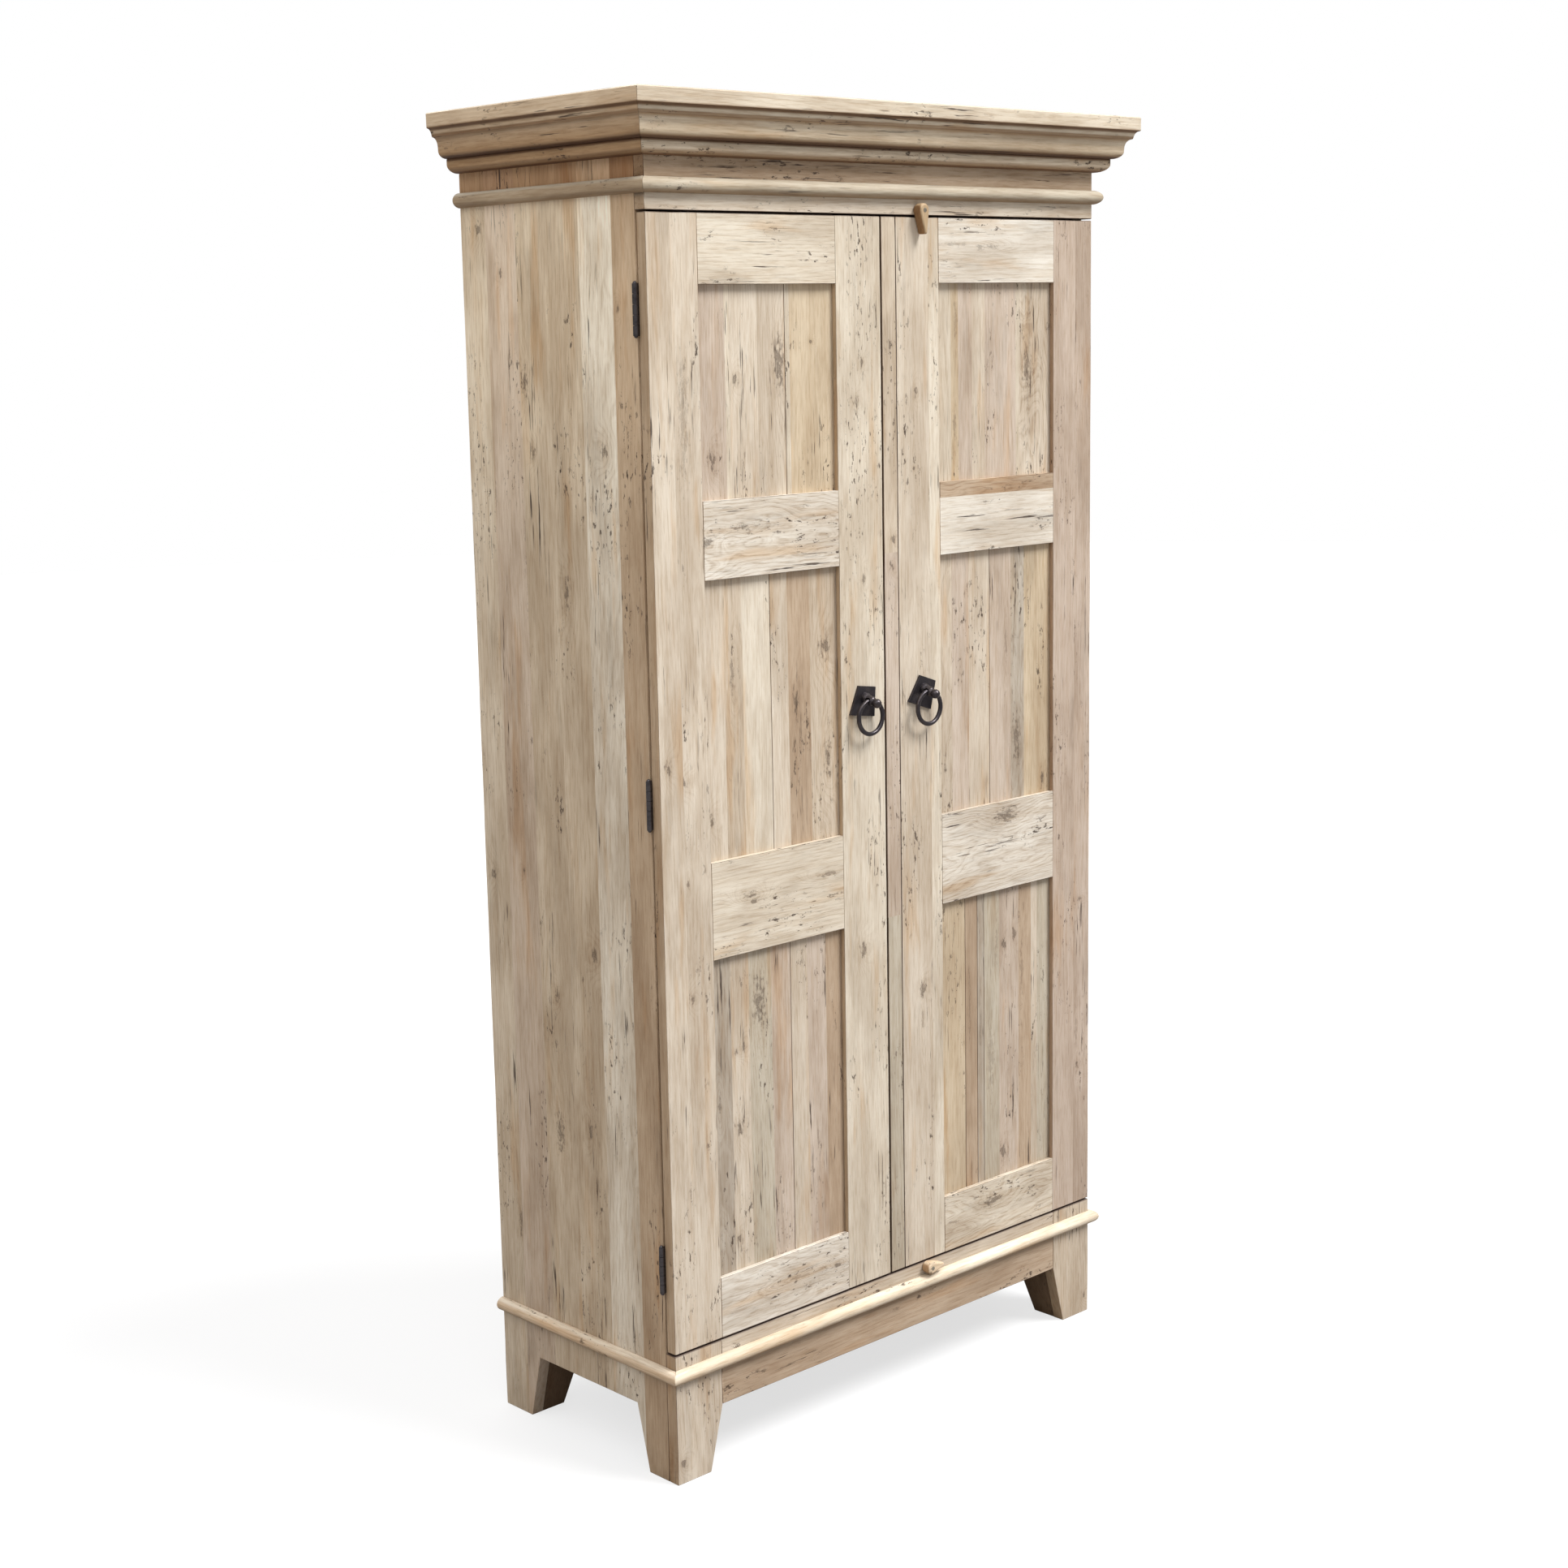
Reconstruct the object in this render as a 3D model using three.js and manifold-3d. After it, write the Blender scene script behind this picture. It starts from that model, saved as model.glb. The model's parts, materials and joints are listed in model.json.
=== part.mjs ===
// Two-door oak armoire: board side panels that run down into feet, a front layer of legs,
// rails and frame-and-panel doors, mitred mouldings, butt hinges, ring pulls and turn buttons.
// Millimetres, +Z up. X = 0 is the middle, the doors face -Y, and the feet stand on Z = 0.
import * as THREE from 'three';
import { mergeVertices } from 'three/addons/utils/BufferGeometryUtils.js';
import Module from 'manifold-3d';

const wasm = await Module();
wasm.setup();

// ---------------------------------------------------------------- driving dimensions
const HEIGHT = 2000;            // floor to the top of the cornice
const BODY_WIDTH = 946;         // outside of one side panel to the outside of the other
const BODY_DEPTH = 414;         // front face of the doors to the back
const OVERHANG = 55;            // cornice beyond the body at the front and the sides

const FRONT_LAYER = 20.5;       // thickness of the front legs, apron and frieze rail
const SIDE_BOARD = 22;          // side panels
const BACK_BOARD = 16;          // back panel
const TOP_BOARD = 20;
const SHELF_BOARD = 18;         // shelves and bottom board
const HOUSING = 5;              // depth that a shelf sits into each side panel
const HOUSING_PLAY = [0.3, 0.15]; // free space at a shelf's ends and back, and above and below it
const SHELF_SETBACK = 3.5;      // front edge of a shelf behind the side panels' front edges
const SHELF_TOPS = [870, 1395]; // upper faces of the two shelves, behind the doors' middle rails

const FRONT_LEG = [92, 66];     // width at the apron, width at the floor
const SIDE_LEG = [90, 65];
const APRON_BOTTOM = 100;
const SIDE_ARCH = 103;          // height of the cut-out between the side feet
const APRON_TOP = 201.5;
const BOTTOM_BOARD_TOP = 200;
const POST_INSET = 1;           // sloping faces of the posts inside the feet, behind the boards'

const DOOR_BOTTOM = 204;
const DOOR_TOP = 1841;
const DOOR_BOARD = 18;
const DOOR_EDGE = 0.5;          // a door's outer edge inside the body's side face
const DOOR_GAP = 2.5;           // between the left door and the centre strip
const CENTRE_STRIP = 30.5;
const STRIP_OFFSET = 1.8;       // middle of the centre strip, to the right of the body's middle
const STILE = 94;
const RAILS = {                 // lower and upper edge of each rail
  bottom_rail: [DOOR_BOTTOM, 297],
  lower_mid_rail: [782, 926],
  upper_mid_rail: [1333, 1445],
  top_rail: [1744, DOOR_TOP],
};
const PANEL_FACE = 8.5;         // how far a panel lies behind the door's face
const PANEL_BOARD = 7;
const GROOVE = 9;               // depth of the panel groove in stiles and rails
const GROOVE_PLAY = 0.25;       // free space round a panel's edge in its groove
const JOINT_GAP = 0.1;          // hairline between boards that are glued edge to edge in a door

const UPPER_BEAD = 1877;        // middle of each half-round bead
const LOWER_BEAD = 169.5;
const BEAD_HALF = 11;
const BEAD_OUT = 13.5;
const BED_BOTTOM = 1915.5;
const BED_TOP = 1936;
const FASCIA = 21;              // height of the cornice's upright top edge
const MITRE_GAP = 0.2;

const HINGE_HEIGHTS = [['bottom', 332], ['middle', 1022.5], ['top', 1711]];
const HINGE_LENGTH = 71;
const PIN_TIP = 3;              // rounded end of the pin beyond the knuckles
const KNUCKLES = 5;
const KNUCKLE_RADIUS = 4;
const KNUCKLE_OUT = 4.3;        // hinge axis beyond the body's side face
const PIN_RADIUS = 2;
const PIN_BORE = 2.35;
const HINGE_SIDES = 12;
const LEAF = 1;
const LEAF_WIDTH = 20;
const LEAF_EDGE = 0.6;          // outer edge of each leaf inside the body's side face

const HANDLE_HEIGHT = 1131;     // where the boss leaves its plate
const HANDLES = [               // the boss from the middle, turn of the plate, plate off its boss
  { side: 'left', x: -62, turn: -8, off: [2, -1] },
  { side: 'right', x: 67, turn: -19, off: [4, -2] },
];
const PLATE = 4;
const BOSS_DROOP = 15;          // degrees that the boss points below level
const RING_RADIUS = 25.5;
const RING_WIRE = 3.6;
const RING_SEAT = 11;           // distance of the ring's hole from the plate, along the boss
const RING_HOLE = 5;
const BOSS_ROOT = 9;            // radii of the boss at the plate, round the hole and at its ball
const BOSS_NECK = 7.2;
const BOSS_BALL = 7.3;
const BALL_MIDDLE = 24.5;       // from the plate, along the boss

const BUTTON_THICKNESS = 16;
const BUTTON_CLEAR = 0.4;       // behind a turn button
const BUTTON_HEAD = 10;
const BUTTONS = [               // the top one hangs over the right door, the bottom one is turned away
  { name: 'top_turn_button', x: 64.5, z: 1850.5, turn: 5, tail: 35 },
  { name: 'bottom_turn_button', x: 64.5, z: 193.5, turn: 90, tail: 27 },
];

// worked out from the sizes above
const HALF = BODY_WIDTH / 2;
const TOP_UNDERSIDE = HEIGHT - TOP_BOARD;
const STRIP_RIGHT = CENTRE_STRIP / 2 + STRIP_OFFSET;
const STRIP_LEFT = STRIP_RIGHT - CENTRE_STRIP;
const DOORS = {
  left: [-HALF + DOOR_EDGE, STRIP_LEFT - DOOR_GAP],
  right: [STRIP_RIGHT, HALF - DOOR_EDGE],
};
const FRONT_PLANE = OVERHANG - (BODY_DEPTH + OVERHANG) / 2;

// ---------------------------------------------------------------- finishes
const oak = (colour) => new THREE.MeshStandardMaterial({ color: colour, roughness: 0.72, metalness: 0 });
const FRONT_OAK = 0xd9c9b2;
const SIDE_OAK = 0xb8a58c;
const MOULDING_OAK = 0xd2c2a8;
const INNER_OAK = 0xb39c7e;
const iron = () => new THREE.MeshStandardMaterial({ color: 0x2b2629, roughness: 0.5, metalness: 0.7 });
const steel = () => new THREE.MeshStandardMaterial({ color: 0x3a3a3a, roughness: 0.45, metalness: 0.9 });

// ---------------------------------------------------------------- building blocks
// The whole piece stands in one group; inside it Y = 0 is the common front face of the doors.
const armoire = new THREE.Group();
armoire.position.y = FRONT_PLANE;

function add(name, geometry, material, parent = armoire) {
  const mesh = new THREE.Mesh(geometry, material);
  mesh.name = name;
  parent.add(mesh);
  return mesh;
}

function board([x0, x1], [y0, y1], [z0, z1]) {
  const geometry = new THREE.BoxGeometry(x1 - x0, y1 - y0, z1 - z0);
  return geometry.translate((x0 + x1) / 2, (y0 + y1) / 2, (z0 + z1) / 2);
}

const outline = (points) => new THREE.Shape(points.map(([a, b]) => new THREE.Vector2(a, b)));

// An outline drawn on one plane, pushed through from one end to the other.
function extrude(shape, length) {
  return new THREE.ExtrudeGeometry(shape, { depth: length, bevelEnabled: false, curveSegments: 8 });
}

// stands a shape drawn in (x, z) upright, with its depth running forwards
const STAND_UP = new THREE.Matrix4().makeBasis(
  new THREE.Vector3(1, 0, 0),
  new THREE.Vector3(0, 0, 1),
  new THREE.Vector3(0, -1, 0),
);

// drawn in (x, z), reaching from y0 back to y1
function extrudeBack(shape, y0, y1) {
  return extrude(shape, y1 - y0).applyMatrix4(STAND_UP).translate(0, y1, 0);
}

// drawn in (y, z), reaching from x0 across to x1
function extrudeAcross(shape, x0, x1) {
  const turn = new THREE.Matrix4().makeBasis(
    new THREE.Vector3(0, 1, 0),
    new THREE.Vector3(0, 0, 1),
    new THREE.Vector3(1, 0, 0),
  );
  return extrude(shape, x1 - x0).applyMatrix4(turn).translate(x0, 0, 0);
}

function solidOf(geometry) {
  const bare = geometry.clone();
  bare.deleteAttribute('normal');
  bare.deleteAttribute('uv');
  const merged = mergeVertices(bare);
  return new wasm.Manifold(new wasm.Mesh({
    numProp: 3,
    vertProperties: Float32Array.from(merged.attributes.position.array),
    triVerts: Uint32Array.from(merged.index.array),
  }));
}

function geometryOf(solid) {
  const mesh = solid.getMesh();
  const geometry = new THREE.BufferGeometry();
  geometry.setAttribute('position', new THREE.BufferAttribute(mesh.vertProperties.slice(), 3));
  geometry.setIndex(new THREE.BufferAttribute(mesh.triVerts.slice(), 1));
  return geometry;
}

const join = (...parts) => geometryOf(parts.map(solidOf).reduce((whole, part) => whole.add(part)));
const cut = (part, ...tools) => geometryOf(
  tools.map(solidOf).reduce((left, tool) => left.subtract(tool), solidOf(part)),
);
const common = (one, other) => geometryOf(solidOf(one).intersect(solidOf(other)));

// ---------------------------------------------------------------- feet
// The post inside a foot stands in the corner of two boards and has the slopes of both. It is
// joined to the board that runs across the body, whose thickness is given.
function footPost(side, thickness, fromBack) {
  const top = BOTTOM_BOARD_TOP - SHELF_BOARD - HOUSING_PLAY[0];
  const slopes = ([atTop, atFloor], start) => [
    [start, 0], [atFloor - POST_INSET, 0], [atTop - POST_INSET, SIDE_ARCH],
    [atTop - POST_INSET, top], [start, top],
  ];
  const root = thickness - 1;
  const across = outline(slopes(FRONT_LEG, SIDE_BOARD + JOINT_GAP).map(([x, z]) => [side * (HALF - x), z]));
  const along = outline(slopes(SIDE_LEG, root).map(([y, z]) => [fromBack ? BODY_DEPTH - y : y, z]));
  return common(extrudeBack(across, 0, BODY_DEPTH), extrudeAcross(along, -HALF, HALF));
}

// ---------------------------------------------------------------- carcass
function carcass() {
  const back = BODY_DEPTH;
  const [legTop, legFoot] = SIDE_LEG;
  const sideOutline = outline([
    [FRONT_LAYER, 0], [legFoot, 0], [legTop, SIDE_ARCH],
    [back - legTop, SIDE_ARCH], [back - legFoot, 0], [back, 0],
    [back, TOP_UNDERSIDE], [FRONT_LAYER, TOP_UNDERSIDE],
  ]);
  const boardTops = [BOTTOM_BOARD_TOP, ...SHELF_TOPS];
  const housingFloor = HALF - SIDE_BOARD + HOUSING;
  const insideBack = back - BACK_BOARD;
  for (const [name, side] of [['left', -1], ['right', 1]]) {
    const outer = side * HALF;
    const inner = outer - side * SIDE_BOARD;
    const blank = extrudeAcross(sideOutline, Math.min(outer, inner), Math.max(outer, inner));
    const housings = boardTops.map((top) => board(
      [side * housingFloor, inner - side].sort((a, b) => a - b),
      [FRONT_LAYER - 1, insideBack],
      [top - SHELF_BOARD, top],
    ));
    add(`${name}_side_panel`, cut(blank, ...housings), oak(SIDE_OAK));
  }

  const backHalf = HALF - SIDE_BOARD;
  const [backTop, backFoot] = FRONT_LEG;
  const backOutline = outline([
    [-backHalf, 0], [-HALF + backFoot, 0], [-HALF + backTop, SIDE_ARCH],
    [HALF - backTop, SIDE_ARCH], [HALF - backFoot, 0], [backHalf, 0],
    [backHalf, TOP_UNDERSIDE], [-backHalf, TOP_UNDERSIDE],
  ]);
  const backBoards = extrudeBack(backOutline, insideBack, back);
  const rearPosts = [-1, 1].map((side) => footPost(side, BACK_BOARD, true));
  add('back_panel', join(backBoards, ...rearPosts), oak(INNER_OAK));

  const names = ['bottom_board', 'lower_shelf', 'upper_shelf'];
  const [endPlay, facePlay] = HOUSING_PLAY;
  const reach = housingFloor - endPlay;
  boardTops.forEach((top, i) => {
    const start = i === 0 ? FRONT_LAYER : FRONT_LAYER + SHELF_SETBACK;
    const thick = [top - SHELF_BOARD + facePlay, top - facePlay];
    add(names[i], board([-reach, reach], [start, insideBack - endPlay], thick), oak(INNER_OAK));
  });
  add('top_board', board([-HALF, HALF], [0, back], [TOP_UNDERSIDE, HEIGHT]), oak(SIDE_OAK));
}

// ---------------------------------------------------------------- front legs, apron, frieze
function frontFrame() {
  const [top, foot] = FRONT_LEG;
  for (const [name, side] of [['left', -1], ['right', 1]]) {
    const legOutline = outline([
      [0, 0], [foot, 0], [top, APRON_BOTTOM], [top, APRON_TOP], [0, APRON_TOP],
    ].map(([x, z]) => [side * (HALF - x), z]));
    const leg = extrudeBack(legOutline, 0, FRONT_LAYER);
    add(`${name}_front_leg`, join(leg, footPost(side, FRONT_LAYER, false)), oak(FRONT_OAK));
  }
  const thick = [0, FRONT_LAYER];
  const apronWide = [top - HALF, HALF - top];
  add('front_apron', board(apronWide, thick, [APRON_BOTTOM, APRON_TOP]), oak(FRONT_OAK));
  const friezeHigh = [DOOR_TOP + DOOR_GAP, TOP_UNDERSIDE];
  add('frieze_rail', board([-HALF, HALF], thick, friezeHigh), oak(FRONT_OAK));
}

// ---------------------------------------------------------------- mouldings
// A moulding's section is drawn as (distance out from the body, height).
function beadSection(middle) {
  const shape = new THREE.Shape();
  shape.moveTo(0, middle - BEAD_HALF);
  shape.absellipse(0, middle, BEAD_OUT, BEAD_HALF, -Math.PI / 2, Math.PI / 2, false);
  return shape;
}

function bedSection() {
  const out = 21;
  const lip = 2.5;
  const shoulder = BED_BOTTOM + 12.5;
  const shape = new THREE.Shape();
  shape.moveTo(0, BED_BOTTOM);
  shape.lineTo(lip, BED_BOTTOM);
  shape.absellipse(lip, shoulder, out - lip, shoulder - BED_BOTTOM, -Math.PI / 2, 0, false);
  shape.lineTo(out, BED_TOP);
  shape.lineTo(0, BED_TOP);
  return shape;
}

function corniceSection() {
  const soffit = 22;            // flat underside, out to the ovolo
  const ovolo = 36;
  const shape = new THREE.Shape();
  shape.moveTo(0, BED_TOP);
  shape.lineTo(soffit, BED_TOP);
  shape.absellipse(soffit, BED_TOP + 11, ovolo - soffit, 11, -Math.PI / 2, 0, false);
  shape.lineTo(ovolo + 0.5, HEIGHT - 46);
  shape.quadraticCurveTo(ovolo + 2, HEIGHT - 35, ovolo + 10, HEIGHT - 34);
  shape.lineTo(ovolo + 11, HEIGHT - 30);
  shape.quadraticCurveTo(OVERHANG - 6, HEIGHT - FASCIA - 1.5, OVERHANG - 1, HEIGHT - FASCIA - 1);
  shape.lineTo(OVERHANG, HEIGHT - FASCIA);
  shape.lineTo(OVERHANG, HEIGHT - 1.5);
  shape.lineTo(OVERHANG - 1.5, HEIGHT);
  shape.lineTo(0, HEIGHT);
  return shape;
}

// One length across the front and a return along each side, mitred where they meet.
function mitredMoulding(name, section) {
  const front = extrude(section, 2).translate(0, 0, -1);
  const places = front.attributes.position;
  for (let i = 0; i < places.count; i += 1) {
    const [out, height, end] = [places.getX(i), places.getY(i), places.getZ(i)];
    places.setXYZ(i, -end * (HALF + out - MITRE_GAP), -out, height);
  }
  add(`${name}_front`, front, oak(MOULDING_OAK));
  for (const [label, side] of [['left', -1], ['right', 1]]) {
    const run = extrude(section, 1);
    const spots = run.attributes.position;
    for (let i = 0; i < spots.count; i += 1) {
      const [out, height, end] = [spots.getX(i), spots.getY(i), spots.getZ(i)];
      const mitred = -out + MITRE_GAP;
      // the right return is laid from the back forwards, so that its faces still point out
      const along = side > 0 ? 1 - end : end;
      const y = mitred + along * (BODY_DEPTH - mitred);
      spots.setXYZ(i, side * (HALF + out), y, height);
    }
    add(`${name}_${label}`, run, oak(MOULDING_OAK));
  }
}

function mouldings() {
  mitredMoulding('cornice', corniceSection());
  mitredMoulding('bed_mould', bedSection());
  mitredMoulding('upper_bead', beadSection(UPPER_BEAD));
  mitredMoulding('lower_bead', beadSection(LOWER_BEAD));
}

// ---------------------------------------------------------------- doors
const groove = [PANEL_FACE - GROOVE_PLAY, PANEL_FACE + PANEL_BOARD + GROOVE_PLAY];

function door(side) {
  const [x0, x1] = DOORS[side];
  const inner0 = x0 + STILE;
  const inner1 = x1 - STILE;
  const thick = [0, DOOR_BOARD];
  const full = [DOOR_BOTTOM, DOOR_TOP];
  const stileNames = side === 'left' ? ['outer_stile', 'inner_stile'] : ['inner_stile', 'outer_stile'];

  const leftGroove = board([inner0 - GROOVE, inner0 + 1], groove, [0, HEIGHT]);
  const rightGroove = board([inner1 - 1, inner1 + GROOVE], groove, [0, HEIGHT]);
  add(`${side}_door_${stileNames[0]}`, cut(board([x0, inner0], thick, full), leftGroove), oak(FRONT_OAK));
  add(`${side}_door_${stileNames[1]}`, cut(board([inner1, x1], thick, full), rightGroove), oak(FRONT_OAK));

  const tongue = GROOVE - GROOVE_PLAY;
  const tenonThick = [PANEL_FACE, PANEL_FACE + PANEL_BOARD];
  for (const [name, [z0, z1]] of Object.entries(RAILS)) {
    const tools = [];
    if (name !== 'bottom_rail') {
      tools.push(board([x0, x1], groove, [z0 - 1, z0 + GROOVE]));
    }
    if (name !== 'top_rail') {
      tools.push(board([x0, x1], groove, [z1 - GROOVE, z1 + 1]));
    }
    const shouldered = board([inner0 + JOINT_GAP, inner1 - JOINT_GAP], thick, [z0, z1]);
    const tenoned = join(shouldered, board([inner0 - tongue, inner1 + tongue], tenonThick, [z0, z1]));
    add(`${side}_door_${name}`, cut(tenoned, ...tools), oak(FRONT_OAK));
  }

  const openings = [
    ['bottom_panel', RAILS.bottom_rail[1], RAILS.lower_mid_rail[0]],
    ['middle_panel', RAILS.lower_mid_rail[1], RAILS.upper_mid_rail[0]],
    ['top_panel', RAILS.upper_mid_rail[1], RAILS.top_rail[0]],
  ];
  for (const [name, z0, z1] of openings) {
    const wide = [inner0 - tongue, inner1 + tongue];
    add(`${side}_door_${name}`, board(wide, tenonThick, [z0 - tongue, z1 + tongue]), oak(FRONT_OAK));
  }
}

// ---------------------------------------------------------------- hinges
// Each pair of leaves lies in the slit between the door and the side panel's front edge. The
// frame leaf carries the pin and the odd knuckles; the door leaf's knuckles turn on the pin.
function hinge(side, label, middle) {
  const out = side === 'left' ? -1 : 1;
  const axis = [out * (HALF + KNUCKLE_OUT), (DOOR_BOARD + FRONT_LAYER) / 2];
  const bottom = middle - HINGE_LENGTH / 2;
  const step = HINGE_LENGTH / KNUCKLES;
  const spacing = 0.3;
  const upright = (radius, z0, z1) => new THREE.CylinderGeometry(radius, radius, z1 - z0, HINGE_SIDES)
    .rotateX(Math.PI / 2).translate(axis[0], axis[1], (z0 + z1) / 2);
  const between = (a, b) => [Math.min(a, b), Math.max(a, b)];
  const plateStart = out * (HALF - LEAF_EDGE);
  const plateEnd = out * (HALF - LEAF_EDGE - LEAF_WIDTH);

  const leaf = (thick, first) => {
    const pieces = [board(between(plateStart, plateEnd), thick, [bottom, bottom + HINGE_LENGTH])];
    for (let i = first; i < KNUCKLES; i += 2) {
      const span = [bottom + i * step + spacing / 2, bottom + (i + 1) * step - spacing / 2];
      pieces.push(upright(KNUCKLE_RADIUS, ...span));
      pieces.push(board(between(axis[0], plateStart), thick, span));
    }
    return pieces;
  };

  const pinHead = KNUCKLE_RADIUS * 0.75;
  const pinProfile = new THREE.Path();
  pinProfile.moveTo(0, -PIN_TIP);
  pinProfile.absellipse(0, 0, pinHead, PIN_TIP, -Math.PI / 2, 0, false);
  pinProfile.lineTo(PIN_RADIUS, 0.1);
  pinProfile.lineTo(PIN_RADIUS, HINGE_LENGTH - 0.1);
  pinProfile.lineTo(pinHead, HINGE_LENGTH);
  pinProfile.absellipse(0, HINGE_LENGTH, pinHead, PIN_TIP, 0, Math.PI / 2, false);
  const pin = new THREE.LatheGeometry(pinProfile.getPoints(2), HINGE_SIDES)
    .rotateX(Math.PI / 2).translate(axis[0], axis[1], bottom);

  const frameLeaf = join(pin, ...leaf([FRONT_LAYER - LEAF, FRONT_LAYER], 0));
  const doorLeaf = cut(join(...leaf([DOOR_BOARD, DOOR_BOARD + LEAF], 1)),
    upright(PIN_BORE, bottom - 5, bottom + HINGE_LENGTH + 5));
  add(`${side}_${label}_hinge_frame_leaf`, frameLeaf, steel());
  add(`${side}_${label}_hinge_door_leaf`, doorLeaf, steel());
}

// ---------------------------------------------------------------- ring pulls
// A flared iron plate with a drooping, ball-ended boss; the ring hangs through a hole in it.
function ringPull({ side, x, turn, off }) {
  const halfTop = 18.3;
  const flare = [12.5, 3.2];    // how much wider the plate's foot is, at its left and right
  const above = 18.5;           // plate above and below the boss
  const below = 26.5;
  const bevel = 1;
  const plateShape = outline([
    [-halfTop, above], [-halfTop - flare[0], -below], [halfTop + flare[1], -below], [halfTop, above],
  ].reverse());
  const plate = new THREE.ExtrudeGeometry(plateShape, {
    depth: PLATE - bevel, bevelThickness: bevel, bevelSize: bevel, bevelOffset: -bevel, bevelSegments: 2,
  });
  plate.rotateZ(THREE.MathUtils.degToRad(turn)).translate(off[0], off[1], 0).applyMatrix4(STAND_UP);
  // what lies behind the door's face, the plate's rear bevel and the root of the boss, is cut away
  const behind = board([-60, 60], [0, 20], [-60, 60]);

  const bossProfile = new THREE.Path();
  bossProfile.moveTo(0, -3);
  bossProfile.lineTo(BOSS_ROOT, -3);
  bossProfile.lineTo(BOSS_ROOT, 1);
  bossProfile.quadraticCurveTo(BOSS_ROOT - 0.4, 4.5, BOSS_NECK + 0.2, 6.5);
  bossProfile.lineTo(BOSS_NECK, 15.5);
  bossProfile.quadraticCurveTo(BOSS_NECK - 1.8, 17.5, BOSS_NECK - 1.9, 19.4);
  bossProfile.absellipse(0, BALL_MIDDLE, BOSS_BALL, BOSS_BALL, -0.75, Math.PI / 2, false);
  const droop = THREE.MathUtils.degToRad(BOSS_DROOP);
  const boss = new THREE.LatheGeometry(bossProfile.getPoints(4), 16)
    .rotateX(Math.PI + droop).translate(0, -PLATE, 0);
  const seat = new THREE.Vector3(0, -PLATE - RING_SEAT * Math.cos(droop), -RING_SEAT * Math.sin(droop));
  const hole = new THREE.CylinderGeometry(RING_HOLE, RING_HOLE, 40, 12)
    .rotateZ(Math.PI / 2).translate(seat.x, seat.y, seat.z);

  const pull = new THREE.Group();
  pull.position.set(x, 0, HANDLE_HEIGHT);
  armoire.add(pull);
  add(`${side}_handle_plate`, cut(join(plate, boss), behind, hole), iron(), pull);

  const ring = new THREE.TorusGeometry(RING_RADIUS, RING_WIRE, 10, 32)
    .rotateX(Math.PI / 2).translate(seat.x, seat.y, seat.z - RING_RADIUS);
  add(`${side}_ring`, ring, iron(), pull);
}

// ---------------------------------------------------------------- turn buttons
// A teardrop of oak on a screw: a round head, straight flanks and a blunt tail.
function turnButton({ name, x, z, turn, tail }) {
  const blunt = 2.5;
  const chamfer = 2;
  const reach = Math.hypot(tail, BUTTON_HEAD - blunt);
  const lean = Math.asin((BUTTON_HEAD - blunt) / reach);
  const shape = new THREE.Shape();
  shape.moveTo(blunt, -tail);
  shape.lineTo(BUTTON_HEAD * Math.cos(lean), -BUTTON_HEAD * Math.sin(lean));
  shape.absarc(0, 0, BUTTON_HEAD, -lean, Math.PI + lean, false);
  shape.lineTo(-blunt, -tail);
  const block = new THREE.ExtrudeGeometry(shape, {
    depth: BUTTON_THICKNESS - 2 * chamfer,
    bevelThickness: chamfer,
    bevelSize: chamfer,
    bevelOffset: -chamfer,
    bevelSegments: 1,
    curveSegments: 10,
  });
  block.rotateZ(THREE.MathUtils.degToRad(turn)).applyMatrix4(STAND_UP)
    .translate(0, -BUTTON_CLEAR - chamfer, 0);
  add(name, block, oak(MOULDING_OAK)).position.set(x, 0, z);
}

// ---------------------------------------------------------------- assembly
carcass();
frontFrame();
mouldings();
door('left');
door('right');
const stripWide = [STRIP_LEFT, STRIP_RIGHT - JOINT_GAP];
add('centre_strip', board(stripWide, [0, DOOR_BOARD], [DOOR_BOTTOM, DOOR_TOP]), oak(FRONT_OAK));
for (const side of ['left', 'right']) {
  HINGE_HEIGHTS.forEach(([label, middle]) => hinge(side, label, middle));
}
HANDLES.forEach(ringPull);
BUTTONS.forEach(turnButton);

export default armoire;
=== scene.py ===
"""A two-door oak armoire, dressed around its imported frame: worn boards, mouldings and forged ring pulls.

Everything is in metres, Z up, with the front towards -Y. Run it as a script inside Blender.
"""

import json
import math

import bmesh
import bpy
from bpy.props import FloatProperty, FloatVectorProperty, PointerProperty
from mathutils import Matrix, Vector, noise


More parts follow.
